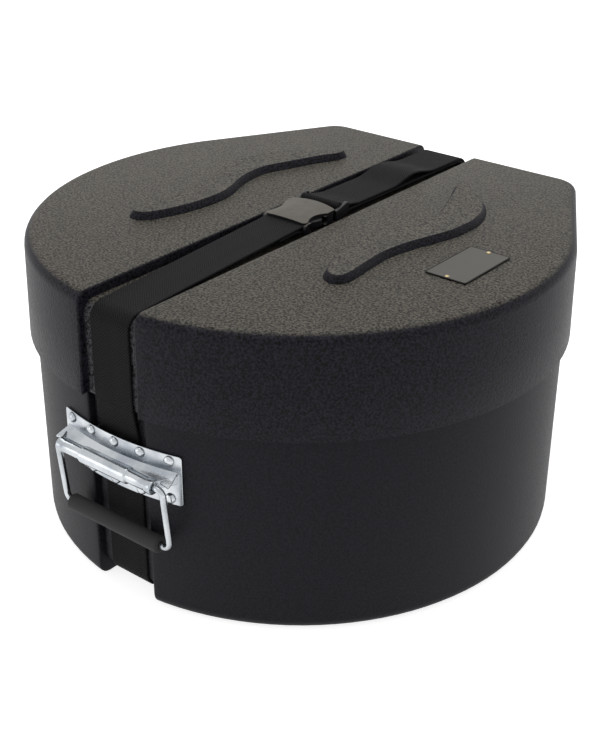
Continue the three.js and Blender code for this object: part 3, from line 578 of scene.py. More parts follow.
# Each satin finish's upper colour is dust with painted light from above.
ACETAL = SatinFinish()
DARK_ACETAL = SatinFinish(
    name="dark_acetal", tone=colour(0.008, 0.008, 0.010), top_dust_and_light=colour(0.026, 0.025, 0.024), specular=0.3)
RUBBER = SatinFinish(
    name="grip_rubber", slot=Slot.RUBBER, tone=colour(0.004, 0.004, 0.006), top_dust_and_light=colour(0.010, 0.010, 0.013),
    roughness=0.22, specular=0.42, cells=1800.0, depth=0.03)
# The metal finishes all carry painted shade on faces that look down and towards +X.
ZINC = MetalFinish()
SPRING_STEEL = MetalFinish(
    name="spring_steel", bright=colour(0.42, 0.43, 0.45), dull=colour(0.25, 0.25, 0.26), roughness=0.3)
BRASS = MetalFinish(
    name="dull_brass", slot=Slot.BRASS, bright=colour(0.42, 0.34, 0.19), dull=colour(0.24, 0.20, 0.12),
    roughness=0.34, stretch=(300.0, 300.0, 300.0))
LABEL = SatinFinish(
    name="label_face", slot=Slot.LABEL, tone=colour(0.070, 0.065, 0.056), top_dust_and_light=colour(0.082, 0.076, 0.064),
    roughness=0.42, specular=0.25, cells=2200.0, depth=0.02)
LABEL_EDGE = SatinFinish(
    name="label_border", slot=Slot.LABEL, tone=colour(0.004, 0.004, 0.004), top_dust_and_light=colour(0.006, 0.006, 0.006),
    roughness=0.5, specular=0.1)
FOAM = FoamFinish()


@dataclass(frozen=True)
class Bar:
    """A round bar across the buckle."""

    y: float
    z: float
    radius: float


@dataclass(frozen=True)
class Channel:
    """The floor of a strap channel, and half its width."""

    half: float
    front: float
    back: float
    level: float
    rounding: float


# Sizes that several parts of the case share
HEIGHT = 251.0
INNER_TOP = 246.3
RIM = 169.0
WALL = 4.4
DRAFT = 1.6
CLEARANCE = 0.3
PLUG_BACK = 35.6
SEWN_BAR = Bar(-16.6, 250.2, 1.6)
LADDER_BAR = Bar(27.2, 255.6, 1.7)
REAR_BAR = Bar(33.3, 252.7, 1.3)
LID_CHANNEL = Channel(half=28.4, front=216.5, back=217.0, level=242.5, rounding=10.0)
BASE_CHANNEL = Channel(half=29.2, front=210.9, back=211.4, level=8.5, rounding=12.0)


def as_data(name: str, mesh: Mesh) -> bpy.types.Mesh:
    """Turns a working mesh into mesh data.

    Args:
        name: The data's name.
        mesh: The mesh, which is freed.

    Returns:
        The data.
    """
    data = bpy.data.meshes.new(name)
    mesh.to_mesh(data)
    mesh.free()
    return data


def linked(name: str, data: bpy.types.ID) -> bpy.types.Object:
    """Makes an object and links it to the scene.

    Args:
        name: The object's name.
        data: Its mesh, camera or light.

    Returns:
        The object.
    """
    item = bpy.data.objects.new(name, data)
    bpy.context.scene.collection.objects.link(item)
    return item


class Workshop:
    """Mesh steps that several pieces share, and the way a mesh becomes a piece."""

    count = 0
    rod_steps = 20

    @staticmethod
    def ring(mesh: Mesh, points: Iterable[Sequence[float]]) -> list[Edge]:
        """Adds a closed chain of edges through the points."""
        corners = [mesh.verts.new(point) for point in points]
        return [mesh.edges.new(pair) for pair in zip(corners, corners[1:] + corners[:1])]

    @classmethod
    def loft(cls, rings: Sequence[Sequence[Sequence[float]]], start: bool = True, end: bool = True) -> Mesh:
        """Bridges rings of equal count into one skin.

        Args:
            rings: The rings, in order.
            start: Whether the first ring is closed by a face.
            end: Whether the last ring is closed by a face.

        Returns:
            The new mesh.
        """
        mesh = bmesh.new()
        loops = [cls.ring(mesh, points) for points in rings]
        for closed, loop in ((start, loops[0]), (end, loops[-1])):
            if closed:
                mesh.faces.new([edge.verts[0] for edge in loop])
        for low, high in zip(loops, loops[1:]):
            bmesh.ops.bridge_loops(mesh, edges=low + high)
        bmesh.ops.recalc_face_normals(mesh, faces=mesh.faces)
        return mesh

    @staticmethod
    def extruded(mesh: Mesh, faces: Iterable[Face]) -> list[Vert]:
        """Extrudes faces in place and returns the new corners."""
        grown = bmesh.ops.extrude_face_region(mesh, geom=list(faces))
        return [item for item in grown["geom"] if isinstance(item, bmesh.types.BMVert)]

    @classmethod
    def slab(cls, outline: Sequence[Sequence[float]], low: float, high: float) -> Mesh:
        """Extrudes a plan outline between two heights.

        Args:
            outline: Corners in plan.
            low: Bottom height.
            high: Top height.

        Returns:
            The new closed mesh.
        """
        mesh = bmesh.new()
        face = mesh.faces.new([mesh.verts.new((x, y, low)) for x, y in outline])
        bmesh.ops.translate(mesh, verts=cls.extruded(mesh, [face]), vec=(0, 0, high - low))
        bmesh.ops.recalc_face_normals(mesh, faces=mesh.faces)
        return mesh

    @classmethod
    def side_slab(cls, outline: Sequence[Sequence[float]], near: float, far: float) -> Mesh:
        """Extrudes an outline in Y and Z between two places along X.

        Args:
            outline: Corners in Y and Z.
            near: One place.
            far: The other place.

        Returns:
            The new closed mesh.
        """
        mesh = cls.slab(outline, min(near, far), max(near, far))
        turn = Matrix(((0, 0, 1), (1, 0, 0), (0, 1, 0)))
        bmesh.ops.transform(mesh, matrix=turn.to_4x4(), verts=mesh.verts)
        return mesh

    @classmethod
    def rod(cls, bar: Bar, reach: float) -> Mesh:
        """Makes a round bar along X that reaches as far to both sides."""
        profile = [(0, -reach), (bar.radius, -reach), (bar.radius, reach), (0, reach)]
        return cls.moved(cls.spun(profile, cls.rod_steps, along_x=True), (0, bar.y, bar.z))

    @classmethod
    def spun(cls, profile: Sequence[Pair], steps: int, along_x: bool = False) -> Mesh:
        """Spins a profile of radius and height pairs round Z.

        Args:
            profile: The pairs, in order.
            steps: Steps of the full turn.
            along_x: Whether the result is then laid along X.

        Returns:
            The new closed mesh.
        """
        mesh = bmesh.new()
        corners = [mesh.verts.new((radius, 0, height)) for radius, height in profile]
        edges = [mesh.edges.new(pair) for pair in zip(corners, corners[1:])]
        bmesh.ops.spin(
            mesh, geom=corners + edges, cent=(0, 0, 0), axis=(0, 0, 1), angle=FULL, steps=steps,
            use_merge=True)
        bmesh.ops.remove_doubles(mesh, verts=mesh.verts, dist=1e-5)
        bmesh.ops.recalc_face_normals(mesh, faces=mesh.faces)
        return cls.turned(mesh, Matrix.Rotation(QUARTER, 3, "Y")) if along_x else mesh

    @staticmethod
    def moved(mesh: Mesh, way: Sequence[float]) -> Mesh:
        """Moves a mesh and returns it."""
        bmesh.ops.translate(mesh, verts=mesh.verts, vec=way)
        return mesh

    @staticmethod
    def turned(mesh: Mesh, turn: Matrix) -> Mesh:
        """Turns a mesh round the origin and returns it."""
        bmesh.ops.rotate(mesh, verts=mesh.verts, cent=(0, 0, 0), matrix=turn)
        return mesh

    @staticmethod
    def block(low: Sequence[float], high: Sequence[float], rounding: float, segments: int = 2) -> Mesh:
        """Makes a box with rounded edges.

        Args:
            low: Lowest corner.
            high: Highest corner.
            rounding: Radius of its edges.
            segments: Segments of each rounding.

        Returns:
            The new closed mesh.
        """
        mesh = bmesh.new()
        bmesh.ops.create_cube(mesh, size=1.0)
        bmesh.ops.scale(mesh, verts=mesh.verts, vec=[high[i] - low[i] for i in range(3)])
        bmesh.ops.translate(mesh, verts=mesh.verts, vec=[(high[i] + low[i]) / 2 for i in range(3)])
        bmesh.ops.bevel(
            mesh, geom=mesh.edges, offset=rounding, segments=segments, profile=0.5, affect="EDGES",
            material=-1)
        return mesh

    @staticmethod
    def bevelled(mesh: Mesh, edges: Sequence[Edge], radius: float, segments: int) -> Mesh:
        """Rounds the given edges.

        Args:
            mesh: The mesh to change.
            edges: The edges to round.
            radius: Distance from the edge.
            segments: Segments of the rounding.

        Returns:
            The same mesh.
        """
        bmesh.ops.bevel(
            mesh, geom=list(edges), offset=radius, offset_type="OFFSET", segments=segments, profile=0.5,
            affect="EDGES", material=-1, clamp_overlap=True)
        return mesh

    @staticmethod
    def cut(mesh: Mesh, point: Sequence[float], normal: Sequence[float], clear: bool = False) -> None:
        """Cuts the mesh by a plane.

        Args:
            mesh: The mesh to change.
            point: A point of the plane.
            normal: The plane's normal.
            clear: Whether what lies behind the plane goes.
        """
        parts = [*mesh.verts, *mesh.edges, *mesh.faces]
        bmesh.ops.bisect_plane(
            mesh, geom=parts, plane_co=point, plane_no=normal, dist=1e-4, clear_inner=clear)

    @staticmethod
    def merged(parts: Sequence[Mesh]) -> Mesh:
        """Puts several meshes in one.

        Args:
            parts: The meshes, which are freed.

        Returns:
            One mesh that holds them all.
        """
        whole = bmesh.new()
        for part in parts:
            data = as_data("part", part)
            whole.from_mesh(data)
            bpy.data.meshes.remove(data)
        return whole

    @classmethod
    def piece(
        cls, name: str, mesh: Mesh, body: Body | None, finish: Finish, nodes: Sequence[str] = (),
        wall: float = 0.0, rounding: float = 0.0, sharp: float = 40.0,
    ) -> bpy.types.Object:
        """Turns a mesh in millimetres into a piece of the case.

        Args:
            name: The piece's name.
            mesh: The mesh, which is freed.
            body: The body that it rides on, or none where it bends between two.
            finish: Its finish.
            nodes: The CAD nodes that it stands for.
            wall: Thickness that Solidify adds inwards.
            rounding: Width of a Bevel modifier.
            sharp: Angle in degrees past which an edge stays sharp.

        Returns:
            The new object.
        """
        bmesh.ops.translate(mesh, verts=mesh.verts, vec=(0, AXIS_Y, 0))
        bmesh.ops.scale(mesh, verts=mesh.verts, vec=(METRES,) * 3)
        data = as_data(name, mesh)
        data.polygons.foreach_set("use_smooth", [True] * len(data.polygons))
        data.set_sharp_from_angle(angle=math.radians(sharp))
        data.materials.append(finish.material())
        item = linked(name, data)
        if wall:
            shell = item.modifiers.new("wall", "SOLIDIFY")
            shell.thickness = wall * METRES
            shell.offset = -1
            shell.use_even_offset = True
        if rounding:
            edge = item.modifiers.new("edges", "BEVEL")
            edge.width = rounding * METRES
            edge.segments = 2
            edge.limit_method = "ANGLE"
            edge.angle_limit = math.radians(sharp)
            edge.harden_normals = False
        if body:
            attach(item, body.value)
        if nodes:
            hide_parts(*nodes)
        cls.count += 1
        LOG.info("piece %s on %s, %d faces", name, body.value if body else "two bodies", len(data.polygons))
        return item


def arc(centre: Sequence[float], radius: float, start: float, end: float, steps: int) -> list[Pair]:
    """Returns points on an arc.

    Args:
        centre: Its centre.
        radius: Its radius.
        start: First angle.
        end: Last angle.
        steps: Number of steps.

    Returns:
        The points, ends included.
    """
    angles = [start + (end - start) * step / steps for step in range(steps + 1)]
    return [(centre[0] + radius * math.cos(turn), centre[1] + radius * math.sin(turn)) for turn in angles]


def rounded_rectangle(low: Pair, high: Pair, radius: float, steps: int = 5) -> list[Pair]:
    """Returns a rectangle's outline with rounded corners.

    Args:
        low: Lowest corner.
        high: Highest corner.
        radius: Radius of the corners.
        steps: Steps of each corner.

    Returns:
        The outline, counter-clockwise.
    """
    (left, bottom), (right, top) = low, high
    return [
        *arc((left + radius, bottom + radius), radius, math.pi, math.pi + QUARTER, steps),
        *arc((right - radius, bottom + radius), radius, -QUARTER, 0, steps),
        *arc((right - radius, top - radius), radius, 0, QUARTER, steps),
        *arc((left + radius, top - radius), radius, QUARTER, math.pi, steps),
    ]


def smooth_loop(corners: Sequence[Sequence[float]], steps: int) -> list[Vector]:
    """Runs a closed centripetal curve through corners.

    Args:
        corners: The points that the curve passes.
        steps: Points made between two corners.

    Returns:
        The curve's points.
    """
    points = [Vector(corner) for corner in corners]
    curve = []
    for i in range(len(points)):
        four = [points[(i + k) % len(points)] for k in (-1, 0, 1, 2)]
        knots = [0.0]
        for a, b in zip(four, four[1:]):
            knots.append(knots[-1] + math.sqrt((b - a).length))
        for step in range(steps):
            curve.append(blend_knots(four, knots, knots[1] + (knots[2] - knots[1]) * step / steps))
    return curve


def blend_knots(points: Sequence[Vector], knots: Sequence[float], knot: float) -> Vector:
    """Returns one point of a centripetal curve.

    Args:
        points: The four points round it.
        knots: Their knots.
        knot: The knot to find.

    Returns:
        The point.
    """
    first = [points[k].lerp(points[k + 1], (knot - knots[k]) / (knots[k + 1] - knots[k])) for k in range(3)]
    second = [first[k].lerp(first[k + 1], (knot - knots[k]) / (knots[k + 2] - knots[k])) for k in range(2)]
    return second[0].lerp(second[1], (knot - knots[1]) / (knots[2] - knots[1]))


def headings(points: Sequence[Vector]) -> list[tuple[Vector, Vector]]:
    """Returns the way that a path runs at each of its points.

    Args:
        points: The path's points.

    Returns:
        For each point the mean direction there, and the direction out of it.
    """
    runs = [(after - before).normalized() for before, after in zip(points, points[1:])]
    pairs = zip([runs[0], *runs], [*runs, runs[-1]])
    return [((into + out).normalized(), out) for into, out in pairs]


@dataclass(frozen=True)
class CaseOutline:
    """The case in plan: a round drum wall, two flat flanks and a flat back."""

    radius: float = 225.0
    back_reach: float = 225.5
    flank: float = math.radians(29)
    corner: float = 25.0
    drum_steps: int = 72
    corner_steps: int = 8

    def points(self, inset: float) -> list[Pair]:
        """Returns the outline moved in.

        Args:
            inset: Distance from the lid's outer wall.

        Returns:
            Points in plan, counter-clockwise.
        """
        centre_y = self.back_reach - self.corner
        centre_x = (self.radius - self.corner - centre_y * math.sin(self.flank)) / math.cos(self.flank)
        corner = self.corner - inset
        drum = arc((0, 0), self.radius - inset, math.pi - self.flank, FULL + self.flank, self.drum_steps)
        return [
            *arc((centre_x, centre_y), corner, self.flank, QUARTER, self.corner_steps),
            *arc((-centre_x, centre_y), corner, QUARTER, math.pi - self.flank, self.corner_steps),
            *drum[1:-1],
        ]

    def ring(self, inset: float, height: float) -> list[tuple[float, float, float]]:
        """Returns the outline moved in, at a height."""
        return [(x, y, height) for x, y in self.points(inset)]


OUTLINE = CaseOutline()


def sink_channel(
    mesh: Mesh, inside: Callable[[Face], bool], to_floor: Callable[[Vector], Vector],
    is_rim: Callable[[Face], bool],
) -> None:
    """Extrudes part of a shell inwards to make a channel.

    Args:
        mesh: The shell's skin.
        inside: Tells which faces sink.
        to_floor: Gives the place of a sunk point.
        is_rim: Tells which faces would close the shell's open rim.
    """
    region = [face for face in mesh.faces if inside(face)]
    for vert in Workshop.extruded(mesh, region):
        vert.co = to_floor(vert.co)
    sunk = [face for face in region if face.is_valid]
    bmesh.ops.delete(mesh, geom=sunk, context="FACES_ONLY")
    leftover = [face for face in mesh.faces if is_rim(face)]
    bmesh.ops.delete(mesh, geom=leftover, context="FACES")
    bmesh.ops.recalc_face_normals(mesh, faces=mesh.faces)


def is_channel_edge(edge: Edge, half: float) -> bool:
    """Tells whether an edge runs between the outer skin and a channel's side wall.

    Args:
        edge: The edge.
        half: Half the channel's width.

    Returns:
        True on the channel's upper edges.
    """
    if len(edge.link_faces) != 2 or any(abs(abs(vert.co.x) - half) > NEAR for vert in edge.verts):
        return False
    walls = [all(abs(abs(vert.co.x) - half) < NEAR for vert in face.verts) for face in edge.link_faces]
    outer = [max(abs(vert.co.x) for vert in face.verts) > half + NEAR for face in edge.link_faces]
    return any(walls) and any(outer)


@dataclass
class Lid:
    """The lid: top and skirt with the channel across it, and the wave pads."""

    channel: Channel = LID_CHANNEL
    top_fillet: float = 8.6
    fillet_steps: int = 5
    channel_edge: float = 1.7
    edge_steps: int = 5
    rounding: float = 0.9
    pad_height: float = 6.0
    pad_root: float = 0.8
    pad_slope: float = 3.8
    pad_slope_share: float = 0.45
    pad_steps: int = 5
    pad_profile: tuple[Pair, ...] = ((0.0, 0.0), (0.74, 0.8), (0.86, 0.93), (1.0, 1.0), (1.2, 1.0))
    pad_shares: tuple[Pair, ...] = (
        (0.455, -0.412), (0.405, -0.392), (0.36, -0.3), (0.334, -0.19), (0.328, -0.05), (0.346, 0.03),
        (0.373, 0.1), (0.393, 0.185), (0.395, 0.277), (0.361, 0.377), (0.312, 0.508), (0.273, 0.603),
        (0.285, 0.653), (0.36, 0.593), (0.45, 0.528), (0.497, 0.468), (0.532, 0.4), (0.551, 0.32),
        (0.552, 0.25), (0.545, 0.173), (0.518, 0.075), (0.491, -0.023), (0.476, -0.131), (0.484, -0.25),
        (0.492, -0.344), (0.485, -0.39),
    )
    spine_shares: tuple[Pair, ...] = (
        (0.451, -0.36), (0.425, -0.3), (0.405, -0.19), (0.408, -0.05), (0.432, 0.06), (0.459, 0.15),
        (0.474, 0.25), (0.456, 0.34), (0.404, 0.44), (0.34, 0.54), (0.297, 0.61),
    )

    def build(self) -> None:
        """Builds the shell and its pads."""
        self.shell()
        for side, name in ((1, "right"), (-1, "left")):
            self.wave_pad(side, name)

    def shell(self) -> None:
        """Builds the moulded shell."""
        start = HEIGHT - self.top_fillet
        rings = [OUTLINE.ring(0.0, RIM), OUTLINE.ring(DRAFT / 2, (RIM + start) / 2)]
        for step in range(self.fillet_steps + 1):
            turn = QUARTER * step / self.fillet_steps
            inset = DRAFT + self.top_fillet * (1 - math.cos(turn))
            rings.append(OUTLINE.ring(inset, start + self.top_fillet * math.sin(turn)))
        mesh = Workshop.loft(rings, start=False)
        for side in (1, -1):
            Workshop.cut(mesh, (side * self.channel.half, 0, 0), (1, 0, 0))
        sink_channel(mesh, self.in_channel, self.to_floor, self.is_rim)
        edges = [edge for edge in mesh.edges if is_channel_edge(edge, self.channel.half)]
        Workshop.bevelled(mesh, edges, self.channel_edge, self.edge_steps)
        Workshop.piece(
            "lid_shell_skin", mesh, Body.LID, LID_PLASTIC, ["lid_shell"], wall=WALL,
            rounding=self.rounding, sharp=50)

    def in_channel(self, face: Face) -> bool:
        """Tells whether a face lies in the channel's width."""
        return abs(face.calc_center_median().x) < self.channel.half

    def is_rim(self, face: Face) -> bool:
        """Tells whether a face lies in the rim's plane."""
        return all(abs(vert.co.z - RIM) < NEAR for vert in face.verts)

    def to_floor(self, spot: Vector) -> Vector:
        """Returns where a point of the outer skin goes on the channel's floor.

        Args:
            spot: The point on the skin.

        Returns:
            The point on the floor.
        """
        start = HEIGHT - self.top_fillet
        side, reach = (-1, self.channel.front) if spot.y < 0 else (1, self.channel.back)
        bend = self.channel.rounding
        if spot.z < start - NEAR:
            return Vector((spot.x, side * reach, spot.z))
        turn = math.asin(min(1.0, (spot.z - start) / self.top_fillet))
        height = self.channel.level - bend + bend * math.sin(turn)
        return Vector((spot.x, side * (reach - bend * (1 - math.cos(turn))), height))

    def wave_pad(self, side: int, name: str) -> None:
        """Builds one raised wave pad.

        Args:
            side: 1 for the right one, -1 for the left.
            name: Which of the two it is.
        """
        corners = [(side * x * OUTLINE.radius, y * OUTLINE.radius, 0) for x, y in self.pad_shares]
        spine = [Vector((side * x, y, 0)) * OUTLINE.radius for x, y in self.spine_shares]
        outline = smooth_loop(corners, self.pad_steps)
        inward = [self.to_spine(point, spine) for point in outline]
        rings = [[(point.x, point.y, HEIGHT - self.pad_root) for point in outline]]
        for share, rise in self.pad_profile:
            moved = [point + step * share for point, step in zip(outline, inward)]
            rings.append([(point.x, point.y, HEIGHT + self.pad_height * rise) for point in moved])
        Workshop.piece(f"wave_pad_{name}", Workshop.loft(rings), Body.LID, LID_PLASTIC, sharp=35)

    def to_spine(self, point: Vector, spine: Sequence[Vector]) -> Vector:
        """Returns how far a point of a pad's foot moves in to become the top's edge.

        Args:
            point: The point of the outline.
            spine: The pad's middle line.

        Returns:
            The move, shorter where the pad is narrow.
        """
        moves = []
        for start, end in zip(spine, spine[1:]):
            along = end - start
            share = min(1.0, max(0.0, (point - start).dot(along) / along.length_squared))
            moves.append(start + along * share - point)
        nearest = min(moves, key=lambda move: move.length)
        return nearest.normalized() * min(self.pad_slope, nearest.length * self.pad_slope_share)


@dataclass
class Base:
    """The base: floor and wall, the neck inside the lid and the channel under the strap."""

    channel: Channel = BASE_CHANNEL
    inset: float = 5.6
    fillet: float = 10.0
    fillet_steps: int = 5
    neck_half: float = 34.6
    shoulder: float = 168.3
    neck_top: float = 236.9
    rim_level: float = 0.2
    channel_edge: float = 1.7
    edge_steps: int = 4
    rounding: float = 0.9

    def build(self) -> None:
        """Builds the shell."""
        rings = []
        for step in range(self.fillet_steps + 1):
            turn = QUARTER * (1 - step / self.fillet_steps)
            inset = self.inset + self.fillet * (1 - math.cos(turn))
            rings.append(OUTLINE.ring(inset, self.fillet * (1 - math.sin(turn))))
        rings.append(OUTLINE.ring(self.inset, self.shoulder))
        rings.append(OUTLINE.ring(self.inset, RIM))
        rings.append(OUTLINE.ring(self.inset + DRAFT, INNER_TOP))
        mesh = Workshop.loft(rings, end=False)
        for half in (self.channel.half, -self.channel.half, self.neck_half, -self.neck_half):
            Workshop.cut(mesh, (half, 0, 0), (1, 0, 0))
        sink_channel(mesh, self.in_channel, self.to_floor, self.is_rim)
        edges = [edge for edge in mesh.edges if is_channel_edge(edge, self.channel.half)]
        edges = [edge for edge in edges if max(vert.co.z for vert in edge.verts) < self.shoulder + NEAR]
        Workshop.bevelled(mesh, edges, self.channel_edge, self.edge_steps)
        Workshop.piece(
            "base_shell_skin", mesh, Body.BASE, BASE_PLASTIC, ["base_shell"], wall=WALL,
            rounding=self.rounding, sharp=50)

    def in_channel(self, face: Face) -> bool:
        """Tells whether a face lies in the channel or the neck."""
        middle = face.calc_center_median()
        return abs(middle.x) < (self.neck_half if middle.z > self.shoulder else self.channel.half)

    def is_rim(self, face: Face) -> bool:
        """Tells whether a face closes the open top.

        Args:
            face: The face.

        Returns:
            True where it is level and lies at the top.
        """
        heights = [vert.co.z for vert in face.verts]
        above = min(heights) > self.neck_top - NEAR and max(heights) > INNER_TOP - NEAR
        return above and abs(face.normal.z) > self.rim_level

    def to_floor(self, spot: Vector) -> Vector:
        """Returns where a point of the outer skin goes on the channel's floor.

        Args:
            spot: The point on the skin.

        Returns:
            The point on the floor.
        """
        side, reach = (-1, self.channel.front) if spot.y < 0 else (1, self.channel.back)
        level, bend = self.channel.level, self.channel.rounding
        if spot.z > self.shoulder:
            share = (spot.z - self.shoulder) / (INNER_TOP - self.shoulder)
            return Vector((spot.x, side * reach, self.shoulder + share * (self.neck_top - self.shoulder)))
        if spot.z > self.fillet - NEAR:
            return Vector((spot.x, side * reach, spot.z if spot.z > self.fillet + 1 else level + bend))
        turn = math.acos(min(1.0, max(0.0, (self.fillet - spot.z) / self.fillet)))
        height = level + bend * (1 - math.cos(turn))
        return Vector((spot.x, side * (reach - bend * (1 - math.sin(turn))), height))


@dataclass
class Straps:
    """The webbing round the case, in three pieces."""

    width: float = 39.0
    thickness: float = 2.0
    seam: float = 0.02
    slack: float = 33.0
    rear_lift: float = 3.6
    sewn_length: float = 34.0
    ramp: float = 9.0
    bulge_height: float = 5.0
    bulge_place: float = 135.0
    bulge_half: float = 34.0
    bulge_steps: int = 24
    tail_drop: float = 55.0
    bend_steps: int = 8
    sewn_steps: int = 10
    ladder_steps: int = 12
    least_mitre: float = 0.5
    longest_step: float = 8.0
    blend_margin: float = 12.0
    edge_share: float = 0.55
    across_shares: tuple[float, ...] = (0.9, 0.45)

    def __post_init__(self) -> None:
        """Works out the offset of a strap's middle layer and the pitch of two layers."""
        self.offset = CLEARANCE + self.thickness / 2
        self.pitch = self.thickness + CLEARANCE

    def build(self) -> None:
        """Builds the three straps."""
        lower = self.lower_path()
        self.strap("strap_lower", lower, Body.BASE, -1.0)
        self.strap("strap_front", self.front_path(), Body.LID)
        round_case = sum((Vector(b) - Vector(a)).length for a, b in zip(lower, lower[1:]))
        rear = self.strap("strap_rear", self.rear_path(), None, -1.0, -round_case)
        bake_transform(rear)

    def lower_path(self) -> list[Pair]:
        """Works out the path down the front, under the base and up the back.

        Returns:
            The path's corners.
        """
        front, back = -(BASE_CHANNEL.front + self.offset), BASE_CHANNEL.back + self.offset
        low = BASE_CHANNEL.level - self.offset
        bend = BASE_CHANNEL.rounding + self.offset
        seam, step = RIM - self.seam, RIM - self.slack
        return [
            (-(LID_CHANNEL.front + self.offset), seam),
            (front, step),
            *arc((front + bend, low + bend), bend, math.pi, math.pi + QUARTER, self.bend_steps),
            *arc((back - bend, low + bend), bend, -QUARTER, 0, self.bend_steps),
            (back, step),
            (LID_CHANNEL.back + self.offset, seam),
        ]

    def front_path(self) -> list[Pair]:
        """Works out the path from the front seam to the buckle and back under itself.

        Returns:
            The path's corners.
        """
        front, high = -(LID_CHANNEL.front + self.offset), LID_CHANNEL.level + self.offset
        bend = LID_CHANNEL.rounding + self.offset
        wrap = SEWN_BAR.radius + self.offset
        slope = (SEWN_BAR.z + wrap - high) / (SEWN_BAR.y - front - bend)
        turns = (SEWN_BAR.y - wrap - self.ramp, SEWN_BAR.y - self.sewn_length)
        return [
            (front, RIM + self.seam),
            *arc((front + bend, high - bend), bend, math.pi, QUARTER, self.bend_steps),
            *arc((SEWN_BAR.y, SEWN_BAR.z), wrap, QUARTER, -QUARTER, self.sewn_steps),
            *[(y, high + (y - front - bend) * slope - self.pitch) for y in turns],
        ]

    def rear_path(self) -> list[Pair]:
        """Works out the path from the rear seam to the ladder bar and back as the free tail.

        Returns:
            The path's corners.
        """
        back, high = LID_CHANNEL.back + self.offset, LID_CHANNEL.level + self.offset + self.rear_lift
        bend = LID_CHANNEL.rounding + self.offset
        wrap = LADDER_BAR.radius + self.offset
        clear = REAR_BAR.radius + self.offset + CLEARANCE
        slope = (REAR_BAR.z - clear - high) / (back - bend - REAR_BAR.y)

        def tail(y: float, lift: float) -> Pair:
            """Returns a point of the free tail, which lies on the strap."""
            return (y, high + (back - bend - y) * slope + self.pitch + lift)

        bulge = []
        for step in range(self.bulge_steps + 1):
            share = step / self.bulge_steps
            lift = (1 - math.cos(share * FULL)) / 2 * self.bulge_height
            bulge.append(tail(self.bulge_place + (share * 2 - 1) * self.bulge_half, lift))
        return [
            (back, RIM + self.seam),
            *arc((back - bend, high - bend), bend, 0, QUARTER, self.bend_steps),
            (REAR_BAR.y, REAR_BAR.z - clear),
            *arc((LADDER_BAR.y, LADDER_BAR.z), wrap, -QUARTER, -QUARTER - math.pi, self.ladder_steps),
            (REAR_BAR.y, REAR_BAR.z + clear),
            tail(PLUG_BACK + self.ramp * 2, 0.0),
            *bulge,
            *arc((back - bend, high - bend), bend + self.pitch, QUARTER, 0, self.bend_steps),
            (back + self.pitch, LID_CHANNEL.level - self.tail_drop),
        ]

    def refined(self, path: Sequence[Pair]) -> list[Vector]:
        """Adds points so that no step of a path is long.

        Args:
            path: Corners of the path.

        Returns:
            The path with its points close together.
        """
        points = [Vector(path[0])]
        for corner in path[1:]:
            start, there = points[-1].copy(), Vector(corner)
            run = (there - start).length
            if run >= NEAR:
                parts = max(1, math.ceil(run / self.longest_step))
                points.extend(start.lerp(there, (i + 1) / parts) for i in range(parts))
        return points

    def section(self) -> list[Pair]:
        """Works out the webbing's section.

        Returns:
            Its corners, across and through the strap.
        """
        half, thick = self.width / 2, self.thickness / 2
        edge = thick * self.edge_share
        right = [half - edge, *[half * share for share in self.across_shares]]
        across = [*[-x for x in right], 0, *reversed(right)]
        upper = [(x, thick) for x in across] + [(half, edge), (half, -edge)]
        return upper + [(x, -thick) for x in reversed(across)] + [(-half, -edge), (-half, edge)]

    def strap(
        self, name: str, path: Sequence[Pair], body: Body | None, way: float = 1.0, start: float = 0.0,
    ) -> bpy.types.Object:
        """Builds one strap along a path in Y and Z.

        Args:
            name: The CAD node that it stands for.
            path: The path of its middle layer.
            body: The body that it rides on, or none where it bends between two.
            way: 1 where the weave counts along the path, -1 where it counts back.
            start: The weave's place at the path's start.

        Returns:
            The new object.
        """
        points, section = self.refined(path), self.section()
        rings, run, runs = [], 0.0, []
        for before, point, (along, out) in zip([points[0], *points], points, headings(points)):
            run += (point - before).length
            runs.append(run)
            normal = Vector((-along.y, along.x)) * (1 / max(self.least_mitre, along.dot(out)))
            rings.append([(x, point.x + normal.x * rise, point.y + normal.y * rise) for x, rise in section])
        mesh = Workshop.loft(rings)
        place = mesh.verts.layers.float_vector.new("strap_place")
        mesh.verts.ensure_lookup_table()
        for i, vert in enumerate(mesh.verts):
            vert[place] = (vert.co.x, start + way * runs[i // len(section)], 0)
        return Workshop.piece(f"{name}_web", mesh, body, WEBBING, [name], sharp=60)


class Station(NamedTuple):
    """A line across a web: how straight it is, and its reach, height and half width."""

    straight: float
    reach: float
    height: float
    half: float


